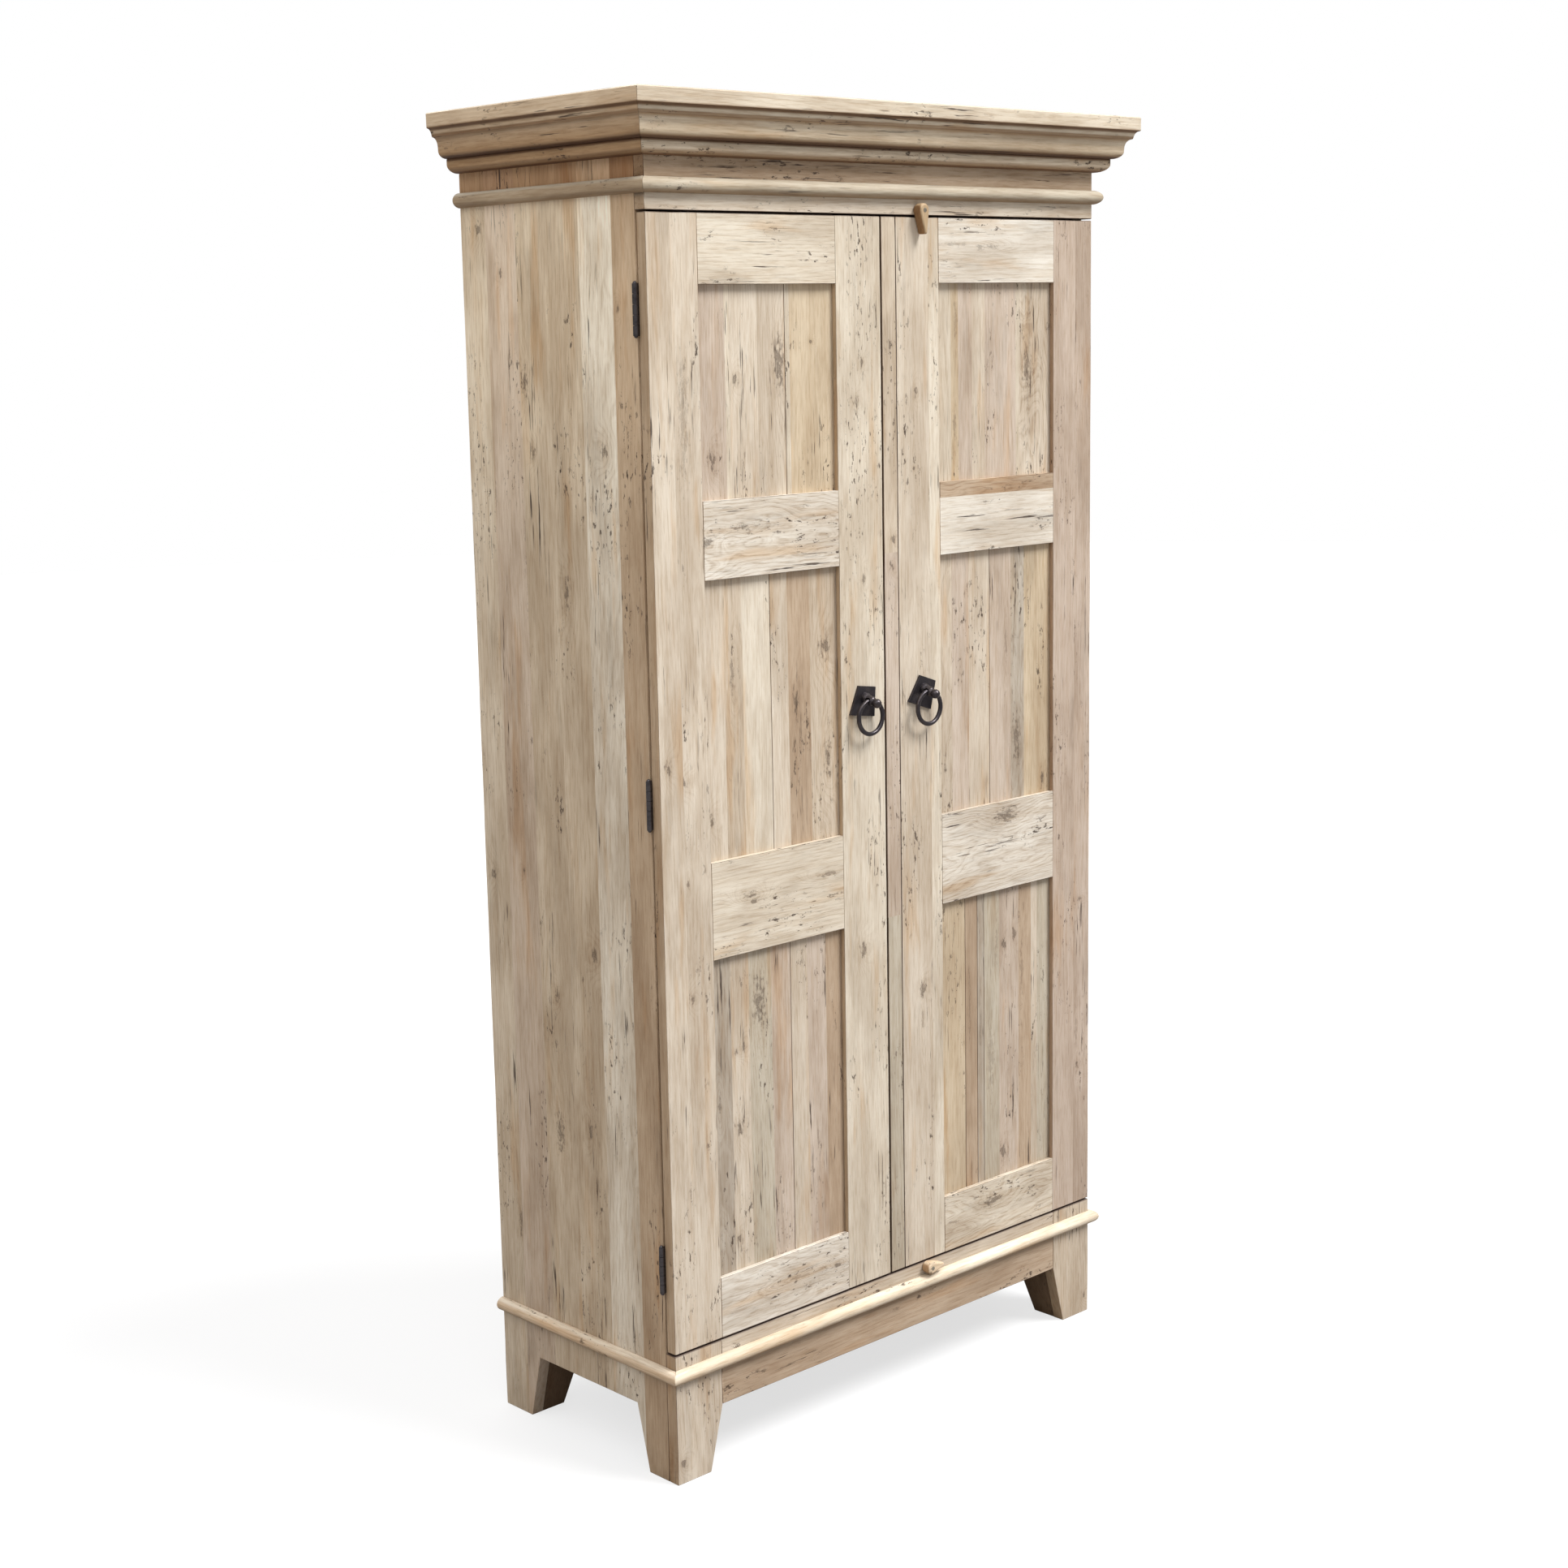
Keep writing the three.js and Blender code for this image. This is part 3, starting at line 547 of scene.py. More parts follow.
# ---------------------------------------------------------------- shader nodes
class Tree:
    """Short ways to add nodes to one node tree. A value may be a socket or a number."""

    def __init__(self, tree):
        self.tree = tree

    def node(self, kind, **given):
        made = self.tree.nodes.new(kind)
        for key, value in given.items():
            setattr(made, key, value)
        return made

    def put(self, socket, value):
        if isinstance(value, bpy.types.NodeSocket):
            self.tree.links.new(value, socket)
        else:
            socket.default_value = value

    def math(self, operation, *values, clamp=False):
        made = self.node("ShaderNodeMath", operation=operation, use_clamp=clamp)
        for socket, value in zip(made.inputs, values):
            self.put(socket, value)
        return made.outputs[0]

    def vector(self, operation, *values):
        made = self.node("ShaderNodeVectorMath", operation=operation)
        for socket, value in zip(made.inputs, values):
            self.put(socket, value)
        return made.outputs["Vector"]

    def split(self, vector):
        made = self.node("ShaderNodeSeparateXYZ")
        self.put(made.inputs[0], vector)
        return made.outputs

    def noise(self, vector, stretch, detail=2.0, roughness=0.5, offset=0.0):
        """Noise over a vector that is first scaled by stretch, three numbers in cells a metre."""
        scaled = self.node("ShaderNodeVectorMath", operation="MULTIPLY_ADD")
        self.put(scaled.inputs[0], vector)
        scaled.inputs[1].default_value = stretch
        scaled.inputs[2].default_value = (offset, offset * 0.7, offset * 1.3)
        made = self.node("ShaderNodeTexNoise")
        self.put(made.inputs["Vector"], scaled.outputs["Vector"])
        made.inputs["Scale"].default_value = 1
        made.inputs["Detail"].default_value = detail
        made.inputs["Roughness"].default_value = roughness
        return made.outputs["Fac"]

    def ramp(self, value, low, high, to_low=0.0, to_high=1.0):
        made = self.node("ShaderNodeMapRange", interpolation_type="SMOOTHSTEP")
        for name, given in (
            ("Value", value), ("From Min", low), ("From Max", high), ("To Min", to_low), ("To Max", to_high)
        ):
            self.put(made.inputs[name], given)
        return made.outputs["Result"]

    def mix(self, factor, a, b, blend="MIX"):
        made = self.node("ShaderNodeMix", data_type="RGBA", blend_type=blend, clamp_factor=True)
        self.put(made.inputs["Factor"], factor)
        sockets = [s for s in made.inputs if s.type == "RGBA"]
        for socket, value in zip(sockets, (a, b)):
            self.put(socket, value if isinstance(value, bpy.types.NodeSocket) else (*value, 1))
        return [s for s in made.outputs if s.type == "RGBA"][0]

    def tint(self, base, amount, shade):
        """A colour multiplied by a shade, as far as the amount says."""
        return self.mix(amount, base, self.mix(1.0, base, shade, "MULTIPLY"))

    def bump(self, height, strength, distance):
        made = self.node("ShaderNodeBump")
        made.inputs["Strength"].default_value = strength
        made.inputs["Distance"].default_value = distance
        self.put(made.inputs["Height"], height)
        return made.outputs["Normal"]

    def attribute(self, name):
        return self.node("ShaderNodeAttribute", attribute_name=name, attribute_type="GEOMETRY")

    def group(self, tree, **given):
        made = self.node("ShaderNodeGroup", node_tree=tree)
        for name, value in given.items():
            self.put(made.inputs[name.replace("_", " ").capitalize()], value)
        return made.outputs


def effect(name, inputs, outputs):
    """An empty node group with those sockets: (name, type, default)."""
    group = bpy.data.node_groups.new(name, "ShaderNodeTree")
    for title, kind, default in inputs:
        made = group.interface.new_socket(title, in_out="INPUT", socket_type="NodeSocket" + kind)
        made.default_value = default
    for title, kind in outputs:
        group.interface.new_socket(title, in_out="OUTPUT", socket_type="NodeSocket" + kind)
    tree = Tree(group)
    return group, tree, tree.node("NodeGroupInput").outputs, tree.node("NodeGroupOutput").inputs


def grain_effect():
    """Growth lines, streaks, fibres and broad patches that follow the grain."""
    group, t, given, out = effect(
        "Oak grain",
        [
            ("Grain", "Vector", ZERO), ("Middle", "Vector", ZERO), ("Figure", "Float", 0.2),
            ("Push", "Float", 0.0),
        ],
        [("Lines", "Float"), ("Streaks", "Float"), ("Fibres", "Float"), ("Patches", "Float")],
    )
    grain = given["Grain"]
    across, _, along = t.split(grain)
    middle = t.split(given["Middle"])[0]
    drift = t.noise(grain, (7, 7, 0.8), 3, 0.55)
    swirl = t.noise(grain, (13, 13, 4.2), 3, 0.5, 5.3)
    straight = t.math("ADD", t.math("MULTIPLY", across, 150), t.math("MULTIPLY", drift, 17))
    arch = t.math("MULTIPLY", t.math("POWER", middle, 2), 1900)
    flame = t.math("ADD", t.math("ADD", arch, t.math("MULTIPLY", along, 13)), t.math("MULTIPLY", swirl, 13))
    blend = t.node("ShaderNodeMix", data_type="FLOAT")
    figure = t.ramp(given["Figure"], 0.25, 0.75)
    for name, value in (("Factor", figure), ("A", straight), ("B", flame)):
        t.put(blend.inputs[name], value)
    rings = t.math("ADD", blend.outputs[0], t.math("MULTIPLY", given["Push"], 3.5))
    wave = t.math("MULTIPLY_ADD", t.math("SINE", t.math("MULTIPLY", rings, 2 * math.pi)), 0.5, 0.5)
    fine = t.math("MULTIPLY_ADD", t.math("SINE", t.math("MULTIPLY", rings, 6.3 * math.pi)), 0.5, 0.5)
    pores = t.noise(grain, (430, 430, 30), 3, 0.65, 2.1)
    dashes = t.ramp(pores, 0.42, 0.62)
    lines = t.math("ADD", t.math("POWER", wave, 3.0), t.math("MULTIPLY", t.math("POWER", fine, 2.0), 0.45))
    t.put(out["Lines"], t.math("MULTIPLY", lines, t.math("MULTIPLY_ADD", dashes, 0.6, 0.4), clamp=True))
    t.put(out["Streaks"], t.noise(grain, (74, 74, 4.2), 4, 0.62, 8.8))
    t.put(out["Fibres"], pores)
    t.put(out["Patches"], t.noise(grain, (15, 15, 4.6), 4, 0.6, 3.3))
    return group


def marks_effect():
    """Flecks, checks, stains and grey patches, thinly and unevenly spread."""
    group, t, given, out = effect(
        "Oak marks",
        [("Grain", "Vector", ZERO)],
        [("Flecks", "Float"), ("Checks", "Float"), ("Stains", "Float"), ("Greys", "Float")],
    )
    grain = given["Grain"]
    places = t.noise(grain, (15, 15, 5), 2, 0.5, 11.0)
    here = t.ramp(places, 0.52, 0.64)
    flecks = t.ramp(t.noise(grain, (170, 170, 60), 4, 0.7, 1.7), 0.575, 0.65)
    t.put(out["Flecks"], t.math("MULTIPLY", flecks, here))
    there = t.ramp(t.noise(grain, (18, 18, 3.5), 2, 0.5, 17.0), 0.53, 0.64)
    checks = t.ramp(t.noise(grain, (260, 260, 11), 3, 0.6, 6.1), 0.60, 0.67)
    t.put(out["Checks"], t.math("MULTIPLY", checks, there))
    t.put(out["Stains"], t.ramp(t.noise(grain, (30, 30, 3.4), 3, 0.6, 23.0), 0.54, 0.72))
    t.put(out["Greys"], t.ramp(t.noise(grain, (24, 24, 4.5), 4, 0.65, 31.0), 0.55, 0.72))
    return group


def knot_effect():
    """One knot: its dark heart, the brown around it, and how far it pushes the growth lines aside."""
    group, t, given, out = effect(
        "Oak knot",
        [
            ("Grain", "Vector", ZERO), ("Place", "Vector", NO_KNOT[:3]), ("Stretch", "Float", 1.0),
            ("Ragged", "Float", 0.5),
        ],
        [("Heart", "Float"), ("Halo", "Float"), ("Push", "Float")],
    )
    across, _, along = t.split(given["Grain"])
    at_across, at_along, radius = t.split(given["Place"])
    dx = t.math("DIVIDE", t.math("SUBTRACT", across, at_across), radius)
    dz = t.math("DIVIDE", t.math("SUBTRACT", along, at_along), t.math("MULTIPLY", radius, given["Stretch"]))
    length = t.math("SQRT", t.math("ADD", t.math("MULTIPLY", dx, dx), t.math("MULTIPLY", dz, dz)))
    rough = t.math("ADD", length, t.math("MULTIPLY", t.math("SUBTRACT", given["Ragged"], 0.5), 5.0))
    ripple = t.math("MULTIPLY_ADD", t.math("SINE", t.math("MULTIPLY", rough, 8.5)), 0.16, 0.84)
    soft = t.ramp(given["Stretch"], 2.4, 8.0, 1.0, 0.42)
    dark = t.math("MULTIPLY", t.ramp(rough, 1.05, 0.35), ripple)
    t.put(out["Heart"], t.math("MULTIPLY", dark, soft, clamp=True))
    t.put(out["Halo"], t.math("MULTIPLY", t.ramp(rough, 2.9, 0.9), soft))
    t.put(out["Push"], t.ramp(length, 4.5, 0.2))
    return group


def arris_effect():
    """Rubbed edges and the dark line in a joint, from how far a point lies from its board's edge.

    Both follow which way a face looks: rubbed edges show more on faces that look up, partly a painted
    highlight, and the dark line is kept off those faces, so that on the others it is partly painted shade.
    """
    group, t, given, out = effect(
        "Board edges",
        [
            ("Middle", "Vector", ZERO), ("Half", "Vector", ZERO), ("Normal", "Vector", ZERO),
            ("Ragged", "Float", 0.5),
        ],
        [("Rubbed", "Float"), ("Grime", "Float")],
    )
    away = t.vector("SUBTRACT", given["Half"], t.vector("ABSOLUTE", given["Middle"]))
    x, y, z = t.split(away)
    total = t.math("ADD", t.math("ADD", x, y), z)
    least = t.math("MINIMUM", t.math("MINIMUM", x, y), z)
    most = t.math("MAXIMUM", t.math("MAXIMUM", x, y), z)
    edge = t.math("SUBTRACT", t.math("SUBTRACT", total, least), most)
    uneven = t.math("MULTIPLY_ADD", t.math("SUBTRACT", given["Ragged"], 0.5), 0.010, edge)
    # painted highlight and shade: rubbed edges show more, and the dark line less, on faces that look up
    upward = t.ramp(t.split(given["Normal"])[2], 0.15, 0.6)
    lit = t.math("MULTIPLY_ADD", upward, 0.5, 0.5)
    t.put(out["Rubbed"], t.math("MULTIPLY", t.ramp(uneven, 4.2 * MM, 1.2 * MM), lit))
    shaded = t.math("SUBTRACT", 1, upward)
    t.put(out["Grime"], t.math("MULTIPLY", t.ramp(edge, 1.1 * MM, 0.4 * MM), shaded))
    return group


def iron_effect():
    """Hammer marks, rubbed patches and fine grit of forged iron."""
    group, t, given, out = effect(
        "Forged skin",
        [("Place", "Vector", ZERO)],
        [("Dents", "Float"), ("Rubbed", "Float"), ("Grit", "Float")],
    )
    t.put(out["Dents"], t.noise(given["Place"], (150, 150, 150), 2, 0.5))
    t.put(out["Rubbed"], t.ramp(t.noise(given["Place"], (85, 85, 85), 3, 0.6, 4.0), 0.45, 0.68))
    t.put(out["Grit"], t.noise(given["Place"], (1400, 1400, 1400), 2, 0.6, 9.0))
    return group


def shared(name, maker):
    return bpy.data.node_groups.get(name) or maker()


def blank_material(name):
    material = bpy.data.materials.new(name)
    material.use_nodes = True
    tree = material.node_tree
    shader = tree.nodes["Principled BSDF"]
    return material, Tree(tree), shader


def oak(name, tint_and_shade=WHITE, dirt_and_shade=1.0, floor_shade=True, edges=WHITE, zones=(), seams=(), blotches=0.85):
    """Oak that reads its boards' tones, grain and knots.

    Its first tint multiplies it all; on the posts in the feet it is painted shade. The next factor scales
    its grime, the dark line at its boards' edges, which is partly dirt and partly painted shade. It can
    darken towards the floor, painted shade for light that falls from above; its left and right sides can
    take a tint of painted shade; and each zone (height, height where it is full, tint) lies across it as
    painted light or shade. Each seam (axis, place, half width, tint) is a line of painted shade in a gap
    or a hollow.
    """
    known = bpy.data.materials.get(name)
    if known:
        return known
    wear = settings().wear
    material, t, shader = blank_material(name)
    grain, middle, half = (t.attribute(layer).outputs["Vector"] for layer in ("grain", "middle", "half"))
    tone = t.attribute("tone")
    figure = tone.outputs["Alpha"]
    where = t.node("ShaderNodeTexCoord").outputs
    spot, normal = t.split(where["Object"]), where["Normal"]
    ragged = t.noise(grain, (210, 210, 90), 4, 0.65, 14.0)

    heart, halo, push = 0.0, 0.0, 0.0
    for slot in KNOT_SLOTS:
        place_of = t.attribute(slot)
        knot = t.group(
            shared("Oak knot", knot_effect), grain=grain, place=place_of.outputs["Vector"],
            stretch=place_of.outputs["Alpha"], ragged=ragged,
        )
        heart = t.math("MAXIMUM", heart, knot["Heart"])
        halo = t.math("MAXIMUM", halo, knot["Halo"])
        push = t.math("ADD", push, knot["Push"])
    lines, streaks, fibres, patches = t.group(
        shared("Oak grain", grain_effect), grain=grain, middle=middle, figure=figure, push=push
    )
    flecks, checks, stains, greys = t.group(shared("Oak marks", marks_effect), grain=grain)
    rubbed, grime = t.group(
        shared("Board edges", arris_effect), middle=middle, half=half, normal=normal, ragged=ragged
    )

    # painted shade: darker towards the floor, as the light falls from above
    tints = [(t.ramp(spot[2], 1.95, 0.05), (0.80, 0.79, 0.79))] if floor_shade else []
    # each zone is a band of painted light or shade across the height
    tints += [(t.ramp(spot[2], low, high), shade) for low, high, shade in zones]
    # each seam is a line of painted shade in a gap or a hollow
    for axis, at, half_width, shade in seams:
        away = t.math("ABSOLUTE", t.math("SUBTRACT", spot[axis], at))
        tints.append((t.ramp(away, half_width, half_width * 0.25), shade))
    sideways = t.split(t.vector("ABSOLUTE", normal))[0]
    drawn = t.math("MULTIPLY_ADD", figure, 0.70 * wear.figure, 0.26 * wear.figure)
    tints += [
        # painted shade on faces that look left or right
        (t.ramp(sideways, 0.6, 0.9), edges),
        # painted shade on faces that look down
        (t.ramp(t.split(normal)[2], -0.35, -0.9), (0.55, 0.45, 0.36)),      # undersides
        (t.ramp(patches, 0.36, 0.66, 0.0, blotches), (0.76, 0.72, 0.68)),
        (t.ramp(streaks, 0.40, 0.68, 0.0, 0.50), (0.82, 0.765, 0.70)),
        (t.ramp(streaks, 0.46, 0.28, 0.0, 0.3), (1.07, 1.08, 1.09)),
        (t.math("MULTIPLY", lines, drawn), (0.62, 0.54, 0.46)),
        (t.ramp(fibres, 0.42, 0.68, 0.0, 0.55), (0.80, 0.73, 0.65)),
        (t.math("MULTIPLY", stains, wear.stain), (0.86, 0.66, 0.45)),
        (t.math("MULTIPLY", greys, wear.stain), (0.76, 0.76, 0.76)),
        (t.math("MULTIPLY", halo, 0.45 * wear.marks), (0.78, 0.71, 0.64)),
    ]
    base = t.mix(1.0, tone.outputs["Color"], tint_and_shade, "MULTIPLY")
    for amount, shade in tints:
        base = t.tint(base, amount, shade)
    for mask, strength, dark in (
        (flecks, 1.05, (62, 46, 36)), (checks, 1.05, (56, 40, 32)), (heart, 0.85, (84, 70, 58))
    ):
        base = t.mix(t.math("MULTIPLY", mask, strength * wear.marks), base, linear(*dark))
    # rubbed edges paler: worn, and partly a painted highlight on faces that look up
    base = t.tint(base, t.math("MULTIPLY", rubbed, wear.rubbed), (1.16, 1.18, 1.20))
    # dark line at the boards' edges: partly dirt, partly painted shade on faces that don't look up
    base = t.mix(t.math("MULTIPLY", grime, wear.grime * dirt_and_shade), base, linear(70, 48, 32))
    t.put(shader.inputs["Base Color"], base)

    worn = t.math("MULTIPLY_ADD", rubbed, -0.10, t.ramp(streaks, 0.3, 0.7, 0.56, 0.70))
    t.put(shader.inputs["Roughness"], t.math("MULTIPLY_ADD", heart, 0.12, worn))
    shader.inputs["Specular IOR Level"].default_value = 0.32

    relief = t.math("MULTIPLY", lines, -0.35)
    for mask, depth in ((fibres, 0.35), (streaks, 0.5), (checks, -1.6), (flecks, -0.9), (heart, -0.8)):
        relief = t.math("MULTIPLY_ADD", mask, depth, relief)
    t.put(shader.inputs["Normal"], t.bump(relief, 0.45, 0.7 * MM))
    return material


def forged(name, dark, bare, rough, metal):
    """Iron or steel: waxed dark, rubbed brown, with dents from the hammer."""
    known = bpy.data.materials.get(name)
    if known:
        return known
    material, t, shader = blank_material(name)
    where = t.node("ShaderNodeTexCoord").outputs["Object"]
    dents, rubbed, grit = t.group(shared("Forged skin", iron_effect), place=where)
    base = t.mix(t.math("MULTIPLY", rubbed, 0.7), tuple(dark), tuple(bare))
    base = t.tint(base, t.ramp(grit, 0.45, 0.7, 0.0, 0.35), (0.45, 0.42, 0.40))
    polish = t.ramp(grit, 0.3, 0.7, rough, rough + 0.16)
    t.put(shader.inputs["Base Color"], base)
    t.put(shader.inputs["Metallic"], t.ramp(grit, 0.4, 0.8, metal, metal * 0.6))
    t.put(shader.inputs["Roughness"], t.math("MULTIPLY_ADD", rubbed, -0.12, polish))
    t.put(shader.inputs["Normal"], t.bump(t.math("MULTIPLY_ADD", grit, 0.25, dents), 0.5, 0.5 * MM))
    return material


def iron_finish():
    return forged("Waxed iron", settings().iron.iron, settings().iron.brown, 0.32, 0.85)


def screw_finish():
    return forged("Worn screw", linear(150, 142, 128), linear(112, 98, 84), 0.5, 0.5)


def steel_finish():
    return forged("Hinge steel", settings().iron.steel, settings().iron.iron, 0.36, 0.9)


def front_oak(door=False):
    """The doors and the frame round them, with painted shade in the gaps over, under and between the doors."""
    # painted shade, very dark, in the gaps over, under and between the doors
    dirt_and_shade = (0.10, 0.06, 0.06)
    below = (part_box("front_apron")[1].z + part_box("left_door_bottom_rail")[0].z) / 2
    above = (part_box("frieze_rail")[0].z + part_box("left_door_top_rail")[1].z) / 2
    gaps = [(2, below, 3.6 * MM, dirt_and_shade), (2, above, 3.2 * MM, dirt_and_shade)]
    if door:
        strip_left, strip_right = (corner.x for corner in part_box("centre_strip"))
        meeting = (strip_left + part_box("left_door_inner_stile")[1].x) / 2
        gaps += [(0, meeting, 2.8 * MM, dirt_and_shade), (0, strip_right, 1.6 * MM, dirt_and_shade)]
    name = "Door oak" if door else "Frame oak"
    # the tint for faces that look left or right is painted shade
    return oak(name, (1.0, 1.02, 1.05), edges=(0.74, 0.62, 0.50), seams=gaps)


def side_oak():
    # painted shadow on the side above the upper bead, under the cornice's overhang
    painted_shade = (1.875, 1.884, (0.58, 0.43, 0.32))
    # painted light: the side's upper part is lightened, as the light falls from above
    painted_top_light = (1.30, 1.80, (1.28, 1.30, 1.30))
    return oak("Side oak", (1.05, 1.03, 0.99), zones=(painted_top_light, painted_shade), blotches=1.0)


def moulding_oak():
    # painted shade on the faces that look left or right
    return oak("Moulding oak", floor_shade=False, edges=(0.84, 0.74, 0.64))


def painted_shade_oak(way):
    """The bed mould and the cornice, with painted shade: they darken down from the cornice's upright edge, more on
    the returns, and in the hollows of their profile.
    """
    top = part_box("cornice_front")[1].z
    bed_bottom, bed_top = (corner.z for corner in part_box("bed_mould_front"))
    # painted shade in the hollows between the members of the profile
    crease_shade = (
        (2, bed_top, 5 * MM, (0.28, 0.20, 0.15)),
        (2, top - 22.5 * MM, 4.2 * MM, (0.40, 0.31, 0.24)),
        (2, top - 32 * MM, 3.4 * MM, (0.48, 0.39, 0.31)),
        (2, bed_bottom, 3.2 * MM, (0.42, 0.32, 0.24)),
    )
    # painted shadow under the cornice's overhang, darker on the returns than on the front
    shade = (0.92, 0.86, 0.78) if way == "level" else (0.72, 0.60, 0.47)
    zones = (
        (top - 20 * MM, top - 62 * MM, shade),
        (top - 0.4 * MM, top - 0.1 * MM, (0.66, 0.65, 0.64)),       # the top itself, in full light
    )
    # the tint for faces that look left or right is painted shade
    return oak(f"Sheltered oak {way}", floor_shade=False, edges=(0.96, 0.85, 0.74), seams=crease_shade, zones=zones)


def shaded_foot_oak():
    # painted shade: the posts inside the feet are darkened, as they stand in shade
    return oak("Foot oak", (0.42, 0.36, 0.30))


def inner_oak():
    return oak("Inner oak", (0.88, 0.83, 0.76))


def button_oak():
    # painted shade on the button's faces that look left or right
    return oak("Button oak", (0.90, 0.83, 0.74), 0.4, False, (0.60, 0.47, 0.36))


# ---------------------------------------------------------------- operators
class Step(bpy.types.Operator):
    """One step of dressing the armoire"""

    bl_options = {"REGISTER", "UNDO"}


class ARMOIRE_OT_sides(Step):
    """Both sides, glued up from boards that run down into the feet"""

    bl_idname = "armoire.sides"
    bl_label = "Sides"

    def execute(self, context):
        for node in WAYS["side"]:
            glued_boards(node, side_oak())
        return {"FINISHED"}


class ARMOIRE_OT_back_and_shelves(Step):
    """The boarded back, the bottom, both shelves and the top"""

    bl_idname = "armoire.back_and_shelves"
    bl_label = "Back and Shelves"

    def execute(self, context):
        for node in WAYS["shelf"]:
            glued_boards(node, inner_oak())
        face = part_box("back_panel")[1].y - BACK_BOARD
        glued_boards("back_panel", inner_oak(), behind=(face, True))
        for side in (-1, 1):
            foot_post("back_panel", side, face)
        return {"FINISHED"}


class ARMOIRE_OT_front_frame(Step):
    """Front legs, apron and frieze"""

    bl_idname = "armoire.front_frame"
    bl_label = "Front Frame"

    def execute(self, context):
        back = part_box("front_apron")[1].y
        for node, side in (("left_front_leg", -1), ("right_front_leg", 1)):
            glued_boards(node, front_oak(), behind=(back, False))
            foot_post(node, side, back)
        for node in ("front_apron", "frieze_rail"):
            glued_boards(node, front_oak())
        return {"FINISHED"}


class ARMOIRE_OT_mouldings(Step):
    """Cornice, bed mould and both beads, mitred round the front corners"""

    bl_idname = "armoire.mouldings"
    bl_label = "Mouldings"

    def execute(self, context):
        for row, (kind, (front, returns, painted_shade)) in enumerate(MOULDINGS.items()):
            for column, (end, way) in enumerate(MOULDING_WAYS.items()):
                tone = front if end == "front" else returns
                # the cornice and bed mould take painted shade
                finish = painted_shade_oak(way) if painted_shade else moulding_oak()
                run_moulding(f"{kind}_{end}", way, tone, row * 11 + column * 5, finish)
        return {"FINISHED"}


class ARMOIRE_OT_door_frames(Step):
    """Stiles and rails of both doors, and the strip on the right one"""

    bl_idname = "armoire.door_frames"
    bl_label = "Door Frames"

    def execute(self, context):
        for node in PANELS:
            if node == "centre_strip" or "_door_" in node and not node.endswith("_panel"):
                glued_boards(node, front_oak(door=True))
        return {"FINISHED"}


class ARMOIRE_OT_door_panels(Step):
    """The six recessed panels of the doors"""

    bl_idname = "armoire.door_panels"
    bl_label = "Door Panels"

    def execute(self, context):
        for node in PANELS:
            if "_door_" in node and node.endswith("_panel"):
                glued_boards(node, front_oak(door=True))
        return {"FINISHED"}


def cylinder(bm, radius, low, high, centre, segments=28, rim=0.0):
    """An upright cylinder between two heights, its rims rounded."""
    made = bmesh.ops.create_cone(
        bm, cap_ends=True, segments=segments, radius1=radius, radius2=radius, depth=high - low,
        matrix=Matrix.Translation((centre[0], centre[1], (low + high) / 2)),
    )
    if rim:
        edges = {e for v in made["verts"] for e in v.link_edges}
        ease(bm, [e for e in edges if abs(e.verts[0].co.z - e.verts[1].co.z) < EXACT], rim)


def block(bm, low, high, rim=0.0):
    """A squared block between two corners, its edges rounded."""
    low, high = Vector(low), Vector(high)
    size = high - low
    made = bmesh.ops.create_cube(
        bm, size=1, matrix=Matrix.Translation((low + high) / 2) @ Matrix.Diagonal((*size, 1))
    )
    if rim:
        ease(bm, {e for v in made["verts"] for e in v.link_edges}, rim)


def slotted_head(bm, centre, normal, radius, rise, turn):
    """A screw head: a low disc in two halves with the driver's slot between them."""
    facing = Vector(normal).to_track_quat("Z", "Y").to_matrix().to_4x4()
    at = Matrix.Translation(centre) @ facing @ Matrix.Rotation(turn, 4, "Z")
    bmesh.ops.create_cone(
        bm, cap_ends=True, segments=24, radius1=radius, radius2=radius, depth=rise * 0.5,
        matrix=at @ Matrix.Translation((0, 0, rise * 0.25)),
    )
    for side in (-1, 1):
        half = bmesh.new()
        bmesh.ops.create_cone(
            half, cap_ends=True, segments=24, radius1=radius * 0.99, radius2=radius * 0.8, depth=rise * 0.5,
            matrix=Matrix.Translation((0, 0, rise * 0.75)),
        )
        trim(half, 0, side * radius * 0.16, side > 0)
        bmesh.ops.transform(half, matrix=at, verts=half.verts)
        join(bm, half)


